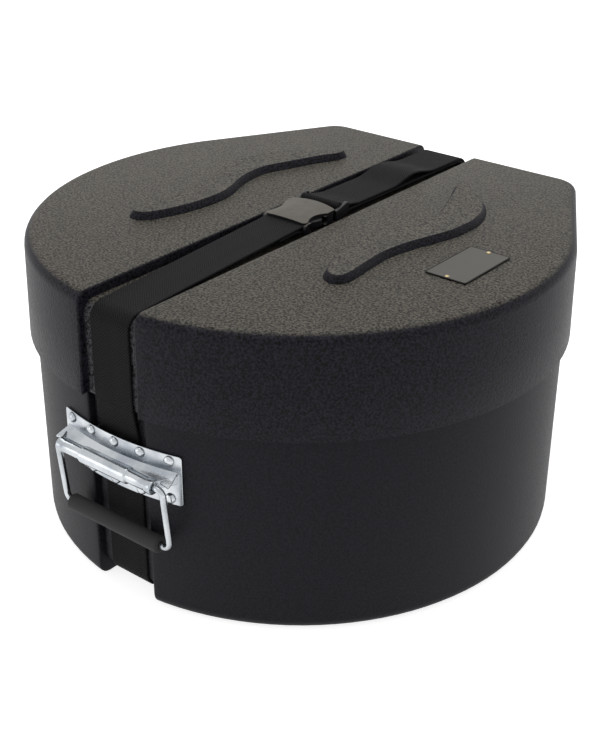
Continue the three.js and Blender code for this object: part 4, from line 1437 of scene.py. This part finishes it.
@dataclass
class Handle:
    """The riveted spring handle: formed plate, rolled barrel, bail, grip and rivets."""

    half_length: float = 61.2
    centre_z: float = 122.5
    height: float = 42.0
    corner: float = 2.6
    sheet: float = 1.5
    inner: float = 219.7
    axis_y: float = -230.2
    flange_cuts: int = 11
    cut_pitch: float = 4.9
    cut_shift: float = 0.6
    thick: float = 6.6
    thin: float = 5.2
    knuckle: float = 5.9
    thick_half: float = 24.0
    barrel_half: float = 49.5
    knuckle_length: float = 6.0
    barrel_edge: float = 0.5
    barrel_slope: float = 1.2
    barrel_steps: int = 40
    bore: float = 3.1
    crease_rise: float = 5.4
    ear_half: float = 57.5
    droop_start: float = 46.0
    droop_share: float = 0.16
    web_steps: int = 24
    shelf: tuple[Station, ...] = (
        Station(0.0, -1.0, 1.6, -1.0), Station(0.0, 0.3, 0.5, -0.4), Station(0.1, 1.2, -0.7, 0.0),
        Station(0.6, 3.0, -2.2, 1.3), Station(1.0, 4.6, -3.2, 1.9),
    )
    lower_web: tuple[Station, ...] = (
        Station(0.0, -1.0, -0.8, -8.0), Station(0.2, 1.2, 0.2, -8.0), Station(0.9, 6.0, 0.2, -9.0),
        Station(1.0, 9.0, 0.0, -9.5),
    )
    rivet_arcs: tuple[float, ...] = (-50.8, -25.4, 0.0, 25.4, 50.8)
    channel_arc: float = 30.0
    rivet_rise: float = 16.0
    rivet_head: float = 4.3
    rivet_head_height: float = 2.8
    rivet_rim: float = 0.25
    rivet_shank: float = 1.9
    rivet_tail: float = 2.9
    rivet_tail_height: float = 1.6
    rivet_seat: float = 0.05
    backing: float = 2.0
    base_radius: float = 219.4
    channel_inner: float = 206.5
    wall_inner: float = 215.0
    leg_x: float = 55.0
    slide: float = 2.4
    reach: float = 54.5
    wire: float = 2.6
    wire_sides: int = 16
    tilt: float = math.radians(5.87)
    top_bend: float = 5.0
    low_bend: float = 7.0
    leg_parts: int = 8
    tip_x: float = 12.0
    upper_x: float = 30.0
    lower_x: float = 25.0
    grip_radius: float = 6.7
    grip_half: float = 47.5
    grip_bore: float = 2.9
    grip_edge: float = 1.4

    def build(self) -> None:
        """Builds every piece of the handle."""
        self.plate()
        self.rivets()
        self.bail()
        self.grip()

    def on_wall(self, run: float, radius: float, height: float) -> Vector:
        """Returns a point of the drum's wall.

        Args:
            run: Its arc length from the middle, on the base's outer wall.
            radius: Its distance from the axis.
            height: Its height.

        Returns:
            The point.
        """
        angle = run / self.base_radius
        return Vector((radius * math.sin(angle), -radius * math.cos(angle), height))

    def flange(self) -> Mesh:
        """Builds the curved back plate.

        Returns:
            A closed sheet.
        """
        low, high = self.centre_z - self.height / 2, self.centre_z + self.height / 2
        outline = rounded_rectangle((-self.half_length, low), (self.half_length, high), self.corner, 6)
        mesh = bmesh.new()
        mesh.faces.new([mesh.verts.new((x, 0, z)) for x, z in outline])
        for step in range(-self.flange_cuts, self.flange_cuts + 1):
            Workshop.cut(mesh, (step * self.cut_pitch + self.cut_shift, 0, 0), (1, 0, 0))
        for vert in mesh.verts:
            vert.co = self.on_wall(vert.co.x * self.base_radius / self.inner, self.inner, vert.co.z)
        for vert in Workshop.extruded(mesh, mesh.faces):
            vert.co += Vector((vert.co.x, vert.co.y, 0)).normalized() * self.sheet
        bmesh.ops.recalc_face_normals(mesh, faces=mesh.faces)
        return mesh

    def web(self, side: int) -> Mesh:
        """Builds the formed shelf above the barrel or the web below it.

        Args:
            side: 1 for the upper shelf, -1 for the lower web.

        Returns:
            A closed sheet.
        """
        outer = self.inner + self.sheet
        lines, level, half = self.shelf, self.centre_z + self.crease_rise, self.ear_half
        if side < 0:
            lines, level, half = self.lower_web, self.centre_z - self.thin, self.barrel_half
        stations = [
            Station(one.straight, outer + one.reach, level + one.height, half + one.half) for one in lines]
        rings = []
        for step in range(self.web_steps + 1):
            share = step / self.web_steps * 2 - 1
            ring = [self.web_point(share, station, self.sheet) for station in stations]
            rings.append(ring + [self.web_point(share, station, 0.0) for station in reversed(stations)])
        return Workshop.loft(rings)

    def web_point(self, share: float, station: Station, lift: float) -> tuple[float, float, float]:
        """Returns a point of a web.

        Args:
            share: Place across it, -1 to 1.
            station: The line that it lies on.
            lift: Rise above the sheet's lower face.

        Returns:
            The point.
        """
        x = share * station.half
        curved = -math.sqrt(station.reach * station.reach - x * x)
        y = curved + (-station.reach - curved) * station.straight
        droop = max(0.0, abs(x) - self.droop_start) * self.droop_share * station.straight
        return (x, y, station.height - droop + lift)

    def barrel(self) -> Mesh:
        """Builds the rolled barrel with its thick middle, necks and knuckles.

        Returns:
            A closed tube.
        """
        knuckle, edge, slope = self.barrel_half - self.knuckle_length, self.barrel_edge, self.barrel_slope
        right = [
            (self.thick, self.thick_half - edge), (self.thick - 0.4, self.thick_half),
            (self.thin + 0.1, self.thick_half + 0.35), (self.thin, self.thick_half + slope),
            (self.thin, knuckle - slope), (self.knuckle - 0.3, knuckle - 0.2), (self.knuckle, knuckle + 0.4),
            (self.knuckle, self.barrel_half - edge), (self.knuckle - edge, self.barrel_half),
            (self.bore + 0.2, self.barrel_half), (self.bore, self.barrel_half - 0.4),
            (self.bore, self.thick_half - 2.0), (self.thick - self.sheet, self.thick_half - 2.0),
        ]
        left = [(radius, -height) for radius, height in reversed(right)]
        mesh = Workshop.spun([*left, *right, left[0]], self.barrel_steps, along_x=True)
        return Workshop.moved(mesh, (0, self.axis_y, self.centre_z))

    def ear(self, side: int) -> Mesh:
        """Builds the stop ear that ties a knuckle to the plate.

        Args:
            side: 1 for the right one, -1 for the left.

        Returns:
            A closed tab.
        """
        foot = -math.sqrt(self.inner**2 - self.ear_half**2)
        outline = [
            (self.barrel_half - 2.2, self.axis_y), (self.barrel_half, self.axis_y),
            (self.barrel_half + 1.2, self.axis_y + 3.0), (self.ear_half - 0.6, foot - 3.0),
            (self.ear_half, foot - 0.5), (self.ear_half - 1.6, foot - 0.5),
        ]
        low, high = self.centre_z - self.thin * 0.4, self.centre_z + self.thin - 0.6
        return Workshop.slab([(side * x, y) for x, y in outline], low, high)

    def plate(self) -> None:
        """Builds the formed plate as one piece."""
        parts = [self.flange(), self.web(1), self.web(-1), self.barrel(), self.ear(1), self.ear(-1)]
        Workshop.piece(
            "handle_plate_formed", Workshop.merged(parts), Body.BASE, ZINC, ["handle_plate"], rounding=0.35,
            sharp=38)

    def rivets(self) -> None:
        """Builds the ten rivets, each with its shank and tail."""
        seat = self.inner + self.sheet + self.rivet_seat
        for row, rise in (("upper", self.rivet_rise), ("lower", -self.rivet_rise)):
            for i, run in enumerate(self.rivet_arcs):
                mesh = self.rivet(run, seat)
                turn = self.on_wall(run, 1.0, 0.0).to_track_quat("Z", "Y").to_matrix()
                Workshop.moved(Workshop.turned(mesh, turn), self.on_wall(run, seat, self.centre_z + rise))
                node = f"rivet_{row}_{i + 1}"
                Workshop.piece(f"{node}_dome", mesh, Body.BASE, ZINC, [node], sharp=50)

    def rivet(self, run: float, seat: float) -> Mesh:
        """Builds one rivet, upright, with its head's foot at the origin.

        Args:
            run: Its arc length from the middle, which says what it passes through.
            seat: Distance of its head's foot from the axis.

        Returns:
            A closed mesh.
        """
        tilt = abs(run) / self.base_radius
        tail = self.wall_inner - self.backing - seat
        if abs(run) < self.channel_arc:
            inner = (self.channel_inner - self.backing) / math.cos(tilt)
            tail = inner - self.rivet_tail * math.tan(tilt) - seat
        end, rim = tail - self.rivet_tail_height, self.rivet_rim
        profile = [
            (0.0, end), (self.rivet_tail, end), (self.rivet_tail, tail), (self.rivet_shank, tail),
            (self.rivet_shank, 0.0), (self.rivet_head - 0.2, 0.0), (self.rivet_head, rim),
        ]
        dome = arc((0.0, 0.0), 1.0, 0.0, QUARTER, 6)[1:-1]
        profile += [(self.rivet_head * x, rim + (self.rivet_head_height - rim) * z) for x, z in dome]
        return Workshop.spun([*profile, (0.0, self.rivet_head_height)], 24)

    def hung(self, mesh: Mesh) -> Mesh:
        """Tilts a mesh made on the bail's own axes and hangs it on the barrel's axis."""
        tilted = Workshop.turned(mesh, Matrix.Rotation(self.tilt, 3, "X"))
        return Workshop.moved(tilted, (0, self.axis_y, self.centre_z))

    def bail(self) -> None:
        """Builds the bent wire."""
        leg = self.reach - self.top_bend - self.low_bend
        right = [
            *arc((self.leg_x - self.top_bend, -self.top_bend), self.top_bend, QUARTER, 0, 8),
            *[(self.leg_x, -self.top_bend - leg * k / self.leg_parts) for k in range(1, self.leg_parts)],
            *arc((self.leg_x - self.low_bend, self.low_bend - self.reach), self.low_bend, 0, -QUARTER, 8),
        ]
        half = [(self.tip_x, 0.0), (self.upper_x, 0.0), *right, (self.lower_x, -self.reach)]
        path = [*half, (0.0, -self.reach), *[(-x, z) for x, z in reversed(half)]]
        points = [Vector((x, 0, z)) for x, z in path]
        rings = []
        for point, (along, _) in zip(points, headings(points)):
            side, across = Vector((0, 1, 0)).cross(along).normalized(), Vector((0, 1, 0))
            section = arc((0.0, 0.0), self.wire, 0.0, FULL, self.wire_sides)[:-1]
            rings.append([point + side * x + across * y for x, y in section])
        mesh = Workshop.moved(self.hung(Workshop.loft(rings)), (self.slide, 0, 0))
        Workshop.piece("bail_wire", mesh, Body.BAIL, ZINC, ["bail"], sharp=50)

    def grip(self) -> None:
        """Builds the moulded rubber grip."""
        radius, half, edge = self.grip_radius, self.grip_half, self.grip_edge
        profile = [
            (self.grip_bore, -half),
            *arc((radius - edge, edge - half), edge, -QUARTER, 0, 4),
            (radius, -half * 0.5), (radius, 0.0), (radius, half * 0.5),
            *arc((radius - edge, half - edge), edge, 0, QUARTER, 4),
            (self.grip_bore, half), (self.grip_bore, -half),
        ]
        mesh = Workshop.moved(Workshop.spun(profile, 40, along_x=True), (0, 0, -self.reach))
        Workshop.piece("grip_sleeve", self.hung(mesh), Body.BAIL, RUBBER, ["grip"], sharp=50)


@dataclass
class Buckle:
    """The side-release buckle: hooded body, plug frame and two prongs."""

    half: float = 22.3
    front: float = -21.5
    back: float = 16.8
    bulge: float = 2.6
    low: float = 245.7
    high: float = 257.8
    crown: float = 1.2
    crown_power: float = 2.6
    tilt: float = 0.9
    taper: float = 1.2
    hood: float = 2.4
    floor: float = 2.2
    corner: float = 2.6
    front_corner: float = 4.2
    scallop_front: float = -17.6
    scallop_back: float = 6.5
    scallop: float = 4.2
    scallop_power: float = 0.8
    scallop_steps: int = 14
    cut_count: int = 4
    cut_parts: float = 4.6
    hood_cuts: tuple[float, ...] = (-18.0, -14.0, -8.0, -2.0, 4.0, 10.0, 16.8)
    post_back: float = 14.0
    post_edge: float = 1.2
    socket_half: float = 19.1
    socket_high: float = 254.6
    socket_front: float = -10.0
    pocket_half: float = 19.6
    pocket_back: float = -12.3
    wall_half: float = 12.6
    lug: float = 3.2
    lug_reach: float = 1.6
    plug_half: float = 22.4
    plug_face: float = 18.2
    plug_height: float = 10.0
    plug_rise: float = 3.4
    plug_lift: float = 5.0
    plug_corner: float = 2.6
    plug_rounding: float = 1.1
    rail: float = 3.1
    face_thickness: float = 2.4
    prong_low: float = 248.2
    prong_height: float = 5.6
    prong_root: float = 2.7
    prong_pivot: Pair = (13.9, 14.6)
    prong_arm: float = 3.6
    prong_bulge: float = 3.2
    prong_tip: float = -11.3
    prong_steps: int = 12
    swell_start: float = 0.3
    swell_power: float = 0.6
    barb: float = 2.0
    barb_place: float = 1.1
    tongue_half: float = 6.5
    tongue_length: float = 19.0
    tongue_height: float = 2.4

    def __post_init__(self) -> None:
        """Works out the level under the hood."""
        self.under = self.high - self.crown - self.hood - CLEARANCE

    def build(self) -> None:
        """Builds the body, the plug and the prongs."""
        self.female()
        self.male()
        self.prong(1, Body.PRONG_RIGHT, "prong_right")
        self.prong(-1, Body.PRONG_LEFT, "prong_left")

    def plan(self) -> list[Pair]:
        """Works out the hood's outline in plan.

        Returns:
            The outline, counter-clockwise from the front right.
        """
        corner, steps = self.front_corner, self.scallop_steps
        right = arc((self.half - self.taper - corner, self.front + corner), corner, -QUARTER, 0, 5)
        for step in range(steps + 1):
            share = step / steps
            y = self.scallop_front + (self.scallop_back - self.scallop_front) * share
            bite = self.taper * (1 - share) + self.scallop * math.sin(math.pi * share) ** self.scallop_power
            right.append((self.half - bite, y))
        right += arc((self.half - self.corner, self.back - self.corner), self.corner, 0, QUARTER * 0.85, 5)
        back = []
        for step in range(1, steps):
            share = step / steps
            x = (self.half - self.corner) * (1 - 2 * share)
            back.append((x, self.back + self.bulge * math.sin(math.pi * share)))
        return right + back + [(-x, y) for x, y in reversed(right)]

    def crowned(self, spot: Vector) -> float:
        """Works out the height of the hood's top.

        Args:
            spot: A point in plan.

        Returns:
            The height over it.
        """
        across = min(1.0, abs(spot.x) / self.half)
        middle = (self.front + self.back) / 2
        along = (spot.y - middle) / (self.back - middle)
        lip = max(0.0, -along) ** 4
        return self.high + self.tilt * along - self.crown * across**self.crown_power - self.tilt * lip * 0.5

    def hood_plate(self) -> Mesh:
        """Builds the crowned top plate.

        Returns:
            A closed mesh.
        """
        mesh = bmesh.new()
        mesh.faces.new([mesh.verts.new((x, y, self.under)) for x, y in self.plan()])
        for step in range(-self.cut_count, self.cut_count + 1):
            Workshop.cut(mesh, (step * self.half / self.cut_parts, 0, 0), (1, 0, 0))
        for y in self.hood_cuts:
            Workshop.cut(mesh, (0, y, 0), (0, 1, 0))
        tops = Workshop.extruded(mesh, mesh.faces)
        for vert in mesh.verts:
            vert.co.z += self.tilt * (vert.co.y - self.front) / (self.back - self.front)
        for vert in tops:
            vert.co.z = self.crowned(vert.co)
        bmesh.ops.recalc_face_normals(mesh, faces=mesh.faces)
        return mesh

    @staticmethod
    def eased(mesh: Mesh, radius: float) -> Mesh:
        """Rounds the two outlines of a slab and returns it."""
        edges = [edge for edge in mesh.edges if edge.calc_face_angle(0) > QUARTER * 0.9]
        return Workshop.bevelled(mesh, edges, radius, 3)

    def posts(self) -> tuple[list[Pair], list[Pair]]:
        """Works out the side view of the posts before and behind the arch.

        Returns:
            The outlines of the front and the back post.
        """
        roof = self.high - self.crown - self.tilt - 0.8
        reach = (self.socket_high - self.low - self.floor) / 2
        middle = self.low + self.floor + reach
        foot, lug, edge = self.front - self.lug_reach, self.lug, self.post_edge
        front_post = [
            (foot + lug, self.low), (self.scallop_front + edge, self.low),
            (self.scallop_front + edge, self.low + self.floor),
            *arc((self.scallop_front + reach + 0.2, middle), reach, -QUARTER, -QUARTER * 3, 8),
            (self.scallop_front + 3.0, roof), (foot + lug + 1.0, roof), (foot + lug * 0.5, roof - 1.4),
            (foot, roof - 3.4),
            *arc((foot + lug, self.low + lug), lug, math.pi, math.pi + QUARTER, 5)[:-1],
        ]
        back_post = [
            (self.scallop_back - edge, self.low), (self.post_back, self.low), (self.post_back, roof + edge),
            (self.scallop_back - 3.0, roof),
            *arc((self.scallop_back - reach + 0.2, middle), reach, QUARTER, -QUARTER, 8),
            (self.scallop_back - edge, self.low + self.floor),
        ]
        return front_post, back_post

    def female(self) -> None:
        """Builds the hooded body with its web pocket, its socket and the two side arches."""
        front_post, back_post = self.posts()
        parts = [self.hood_plate()]
        far = self.half - 0.1
        for side in (1, -1):
            near = self.socket_half
            parts.append(self.eased(Workshop.side_slab(front_post, side * (near + 0.2), side * far), 1.3))
            parts.append(self.eased(Workshop.side_slab(back_post, side * near, side * far), 0.6))
        half, sole = self.wall_half, self.half - self.scallop - 0.4
        parts.append(Workshop.block(
            (-half, self.pocket_back, self.low), (half, self.socket_front, self.under + 0.6), 0.4))
        parts.append(Workshop.block(
            (-sole, self.socket_front - 1, self.low), (sole, self.post_back, self.low + self.floor), 0.5))
        parts.append(Workshop.rod(SEWN_BAR, self.pocket_half + 0.6))
        Workshop.piece(
            "buckle_body", Workshop.merged(parts), Body.LID, ACETAL, ["buckle_female"], rounding=0.55,
            sharp=40)

    def male(self) -> None:
        """Builds the plug: face, rails that rise to the rear, two bars, tongue and prong seats."""
        low, high = self.low, self.low + self.plug_height
        half, face, back, corner = self.plug_half, self.plug_face, PLUG_BACK, self.plug_corner
        behind, top, foot = face + self.face_thickness, high + self.plug_rise, low + self.plug_lift
        rail = [
            (face, low + 0.4), (behind, low), (back - 1.0, foot),
            *arc((back - corner, foot + corner), corner, -QUARTER * 0.6, 0, 3),
            *arc((back - corner, top - corner), corner, 0, QUARTER * 1.15, 6),
            (behind + 1.0, high + 0.2), (face, high - 0.3),
        ]
        parts = [Workshop.block((-half + 0.3, face, low), (half - 0.3, behind, high), 0.8, 3)]
        for near, far in ((half - self.rail, half), (-half, -half + self.rail)):
            parts.append(self.eased(Workshop.side_slab(rail, near, far), self.plug_rounding))
        for bar in (LADDER_BAR, REAR_BAR):
            parts.append(Workshop.rod(bar, half - self.rail / 2))
        middle = self.prong_low + self.prong_height / 2
        parts.append(Workshop.block(
            (-self.tongue_half, face - self.tongue_length, middle - self.tongue_height / 2),
            (self.tongue_half, behind, middle + self.tongue_height / 2), 0.6))
        pivot_x, pivot_y = self.prong_pivot
        root = pivot_x - self.prong_root - CLEARANCE
        parts.append(Workshop.block(
            (-root, pivot_y, self.prong_low), (root, behind, self.prong_low + self.prong_height), 0.5))
        Workshop.piece(
            "buckle_plug", Workshop.merged(parts), Body.PLUG, DARK_ACETAL, ["buckle_male"], rounding=0.5,
            sharp=40)

    def prong(self, side: int, body: Body, node: str) -> None:
        """Builds one prong: root, slender arm, thumb pad and barb.

        Args:
            side: 1 for the right one, -1 for the left.
            body: The body that it rides on.
            node: The CAD node that it stands for.
        """
        outer, slim = self.socket_half - CLEARANCE, self.prong_arm / 2
        inner, pad = outer - self.prong_arm, outer + self.prong_bulge
        barb_y, top = self.barb_place, self.prong_low + self.prong_height
        pivot_x, pivot_y = self.prong_pivot
        outline = [
            (pivot_x + self.prong_root / 2, pivot_y), (outer - slim, barb_y + self.barb * 2),
            (outer, barb_y + self.barb), (outer + self.barb, barb_y),
        ]
        for step in range(1, self.prong_steps + 1):
            share = step / self.prong_steps
            turn = math.pi * min(1.0, self.swell_start + share * (1 - self.swell_start))
            swell = math.sin(turn) ** self.swell_power
            x = inner + slim + (pad - inner - slim) * swell
            outline.append((x, barb_y + (self.prong_tip - barb_y) * share))
        outline += [
            (inner, self.prong_tip + self.prong_arm), (inner - slim, barb_y),
            (pivot_x - self.prong_root / 2, pivot_y),
        ]
        arm = Workshop.slab([(side * x, y) for x, y in outline], self.prong_low, top)
        profile = [(0, 0), (self.prong_root, 0), (self.prong_root, self.prong_height), (0, self.prong_height)]
        root = Workshop.spun(profile, Workshop.rod_steps)
        Workshop.moved(root, (side * pivot_x, pivot_y, self.prong_low))
        Workshop.piece(
            f"{node}_arm", Workshop.merged([arm, root]), body, DARK_ACETAL, [node], rounding=0.5, sharp=40)


@dataclass
class Label:
    """The bare label plate and its two rivets."""

    x: float = 160.8
    width: float = 36.5
    length: float = 64.5
    low: float = 251.3
    thickness: float = 0.8
    corner: float = 2.6
    border: float = 1.3
    rivet_y: float = 29.05
    rivet_seat: float = 0.05
    head: float = 1.9
    head_height: float = 0.8
    shank: float = 1.0
    shank_length: float = 5.0

    def build(self) -> None:
        """Builds the plate and the rivets."""
        half_width, half_length = self.width / 2, self.length / 2
        outline = rounded_rectangle(
            (self.x - half_width, -half_length), (self.x + half_width, half_length), self.corner)
        mesh = Workshop.slab(outline, self.low, self.low + self.thickness)
        top = max(mesh.faces, key=lambda face: face.calc_center_median().z)
        rim = bmesh.ops.inset_region(mesh, faces=[top], thickness=self.border, depth=0.0)["faces"]
        for face in [*rim, *[face for face in mesh.faces if abs(face.normal.z) < 0.5]]:
            face.material_index = 1
        item = Workshop.piece(
            "label_face_plate", mesh, Body.LID, LABEL, ["label_plate"], rounding=0.18, sharp=50)
        item.data.materials.append(LABEL_EDGE.material())
        dome = arc((0.0, 0.0), 1.0, 0.0, QUARTER, 5)[:-1]
        profile = [
            (0, -self.shank_length), (self.shank, -self.shank_length), (self.shank, 0.0),
            *[(self.head * x, self.head_height * z) for x, z in dome], (0.0, self.head_height),
        ]
        for y, name in ((-self.rivet_y, "front"), (self.rivet_y, "back")):
            rivet = Workshop.spun(profile, 20)
            Workshop.moved(rivet, (self.x, y, self.low + self.thickness + self.rivet_seat))
            node = f"label_rivet_{name}"
            Workshop.piece(f"{node}_dome", rivet, Body.LID, BRASS, [node], sharp=50)


@dataclass
class FoamLining:
    """The foam pads inside the base and the lid."""

    rounding: float = 2.2
    soft_angle: float = 0.6
    thickness: float = 12.0
    floor_inset: float = 15.6
    floor_near: float = 32.9
    lid_inset: float = 12.8
    lid_near: float = 39.7
    wall_low: float = 17.0
    wall_high: float = 222.6
    wall_radius: float = 213.1
    wall_half: float = math.radians(15)
    front_turn: float = math.radians(-50)
    wall_steps: int = 12
    back_face: float = 213.6
    back_near: float = 41.0
    back_far: float = 103.0

    def build(self) -> None:
        """Builds the ten pads."""
        for side, name in ((-1, "left"), (1, "right")):
            low, high = WALL + CLEARANCE, INNER_TOP - self.thickness
            self.half_pad(f"floor_pad_{name}", side, self.floor_inset, self.floor_near, low, Body.BASE)
            self.half_pad(f"lid_pad_{name}", side, self.lid_inset, self.lid_near, high, Body.LID)
            for place, turn in (("side", 0.0), ("front", self.front_turn)):
                self.curved_pad(f"wall_pad_{place}_{name}", turn if side > 0 else math.pi - turn)
            self.back_pad(f"wall_pad_back_{name}", side)

    def pad(self, node: str, outline: Sequence[Sequence[float]], low: float, high: float, body: Body) -> None:
        """Builds one pad with soft edges.

        Args:
            node: The CAD node that it stands for.
            outline: Its plan.
            low: Bottom height.
            high: Top height.
            body: The body that it rides on.
        """
        mesh = Workshop.slab(outline, low, high)
        edges = [edge for edge in mesh.edges if edge.calc_face_angle(0) > self.soft_angle]
        Workshop.bevelled(mesh, edges, self.rounding, 3)
        item = Workshop.piece(f"{node}_foam", mesh, body, FOAM, [node], sharp=60)

    def half_pad(self, node: str, side: int, inset: float, near: float, low: float, body: Body) -> None:
        """Builds a pad that covers one side of the floor or of the lid.

        Args:
            node: The CAD node that it stands for.
            side: 1 for right, -1 for left.
            inset: Distance from the outline.
            near: Distance from the middle.
            low: Bottom height.
            body: The body that it rides on.
        """
        plan = bmesh.new()
        plan.faces.new([plan.verts.new((x, y, 0)) for x, y in OUTLINE.points(inset)])
        Workshop.cut(plan, (side * near, 0, 0), (side, 0, 0), clear=True)
        face = max(plan.faces, key=lambda one: one.calc_area())
        outline = [(vert.co.x, vert.co.y) for vert in face.verts]
        plan.free()
        self.pad(node, outline, low, low + self.thickness, body)

    def curved_pad(self, node: str, middle: float) -> None:
        """Builds a pad that follows the drum wall.

        Args:
            node: The CAD node that it stands for.
            middle: Angle of its middle.
        """
        start, end = middle - self.wall_half, middle + self.wall_half
        outline = [
            *arc((0, 0), self.wall_radius, start, end, self.wall_steps),
            *arc((0, 0), self.wall_radius - self.thickness, end, start, self.wall_steps),
        ]
        self.pad(node, outline, self.wall_low, self.wall_high, Body.BASE)

    def back_pad(self, node: str, side: int) -> None:
        """Builds a pad on the flat back.

        Args:
            node: The CAD node that it stands for.
            side: 1 for right, -1 for left.
        """
        left, right = sorted((side * self.back_near, side * self.back_far))
        far, near = self.back_face, self.back_face - self.thickness
        outline = [(left, near), (right, near), (right, far), (left, far)]
        self.pad(node, outline, self.wall_low, self.wall_high, Body.BASE)


@dataclass
class Studio:
    """The camera, the light, the floor and the white surroundings, in metres."""

    spot: tuple[float, float, float] = (0.6379, -0.79476, 0.64454)
    azimuth: float = math.radians(38.55)
    elevation: float = math.radians(27.833)
    roll: float = math.radians(0.417)
    lens: float = 63.93
    fill: float = 0.5
    aim_height: float = 0.12
    lamps: tuple[tuple[str, tuple[float, float, float], float, float], ...] = (
        ("overhead", (-0.35, 0.35, 2.2), 1.8, 20.0),
        ("left", (-1.15, -1.8, 0.35), 0.8, 3.0),
    )
    floor_half: float = 6.0
    floor_gap: float = 0.0003
    floor_tone: float = 0.8
    floor_glow: float = 0.8

    def build(self) -> None:
        """Sets up everything that isn't the case."""
        self.camera()
        self.world()
        for name, spot, size, power in self.lamps:
            self.lamp(name, Vector(spot), size, power)
        self.floor()
        bpy.context.scene.view_settings.view_transform = "Standard"

    def camera(self) -> None:
        """Places the camera at the photograph's angle."""
        level = math.cos(self.elevation)
        aside, ahead = math.sin(self.azimuth) * level, math.cos(self.azimuth) * level
        back = Vector((aside, -ahead, math.sin(self.elevation)))
        right = (-back).cross(Vector((0, 0, 1))).normalized()
        up = right.cross(-back)
        turned_right = right * math.cos(self.roll) + up * math.sin(self.roll)
        turned_up = up * math.cos(self.roll) - right * math.sin(self.roll)
        data = bpy.data.cameras.new("camera")
        data.lens = self.lens
        item = linked("camera", data)
        turn = Matrix((turned_right, turned_up, back)).transposed().to_4x4()
        item.matrix_world = Matrix.Translation(Vector(self.spot)) @ turn
        bpy.context.scene.camera = item

    def world(self) -> None:
        """Makes the surroundings white to the camera and to reflections, and a plain fill to the rest."""
        world = bpy.data.worlds.new("studio")
        bpy.context.scene.world = world
        board = Board.fresh(world)
        strength = board.ranged(self.seen(board), (0.0, 1.0, self.fill, 1.0))
        background = board.add("ShaderNodeBackground", Color=colour(1, 1, 1), Strength=strength)
        board.add("ShaderNodeOutputWorld", Surface=background.outputs[0])

    @staticmethod
    def seen(board: Board) -> Socket:
        """Tells apart what the camera, glossy and transmission rays see.

        Args:
            board: Board on the tree that asks.

        Returns:
            One for those rays, and zero for the rest.
        """
        rays = board.add("ShaderNodeLightPath").outputs
        either = board.maths("MAXIMUM", rays["Is Camera Ray"], rays["Is Glossy Ray"])
        return board.maths("MAXIMUM", either, rays["Is Transmission Ray"])

    def lamp(self, name: str, spot: Vector, size: float, power: float) -> None:
        """Hangs a soft square lamp that points at the case.

        Args:
            name: Its name.
            spot: Its place.
            size: Its side.
            power: Its power in watts.
        """
        data = bpy.data.lights.new(name, "AREA")
        data.energy = power
        data.size = size
        aim = Vector((0, 0, self.aim_height)) - spot
        turn = aim.to_track_quat("-Z", "Y").to_matrix().to_4x4()
        linked(name, data).matrix_world = Matrix.Translation(spot) @ turn

    def floor(self) -> None:
        """Lays a pale floor that renders white where no shadow falls."""
        mesh = bmesh.new()
        bmesh.ops.create_grid(mesh, x_segments=1, y_segments=1, size=self.floor_half)
        data = as_data("floor", Workshop.moved(mesh, (0, 0, -self.floor_gap)))
        made = bpy.data.materials.new("pale_floor")
        board = Board.fresh(made)
        shader = board.add(
            "ShaderNodeBsdfPrincipled", Roughness=0.9, Base_Color=colour(*[self.floor_tone] * 3),
            Specular_IOR_Level=0.0, Emission_Color=colour(1, 1, 1),
            Emission_Strength=board.maths("MULTIPLY", self.seen(board), self.floor_glow))
        board.add("ShaderNodeOutputMaterial", Surface=shader.outputs[0])
        data.materials.append(made)
        item = linked("floor", data)


def dress_kept_nodes() -> None:
    """Gives the hidden steel nodes that stay their finishes."""
    kept = {"handle_spring": SPRING_STEEL, "backing_strip_upper": ZINC, "backing_strip_lower": ZINC}
    for row in ("upper", "lower"):
        for number in (1, 5):
            kept[f"backing_washer_{row}_{number}"] = ZINC
    for node, finish in kept.items():
        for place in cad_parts[node].material_slots:
            place.material = finish.material()


def main() -> None:
    """Builds the studio and the case."""
    logging.basicConfig(level=logging.INFO, format="%(name)s: %(message)s")
    for part in (Studio, Lid, Base, Straps, Handle, Buckle, Label, FoamLining):
        LOG.info("building %s", part.__name__)
        part().build()
    dress_kept_nodes()
    LOG.info("%d pieces made", Workshop.count)


if __name__ == "__main__":
    main()
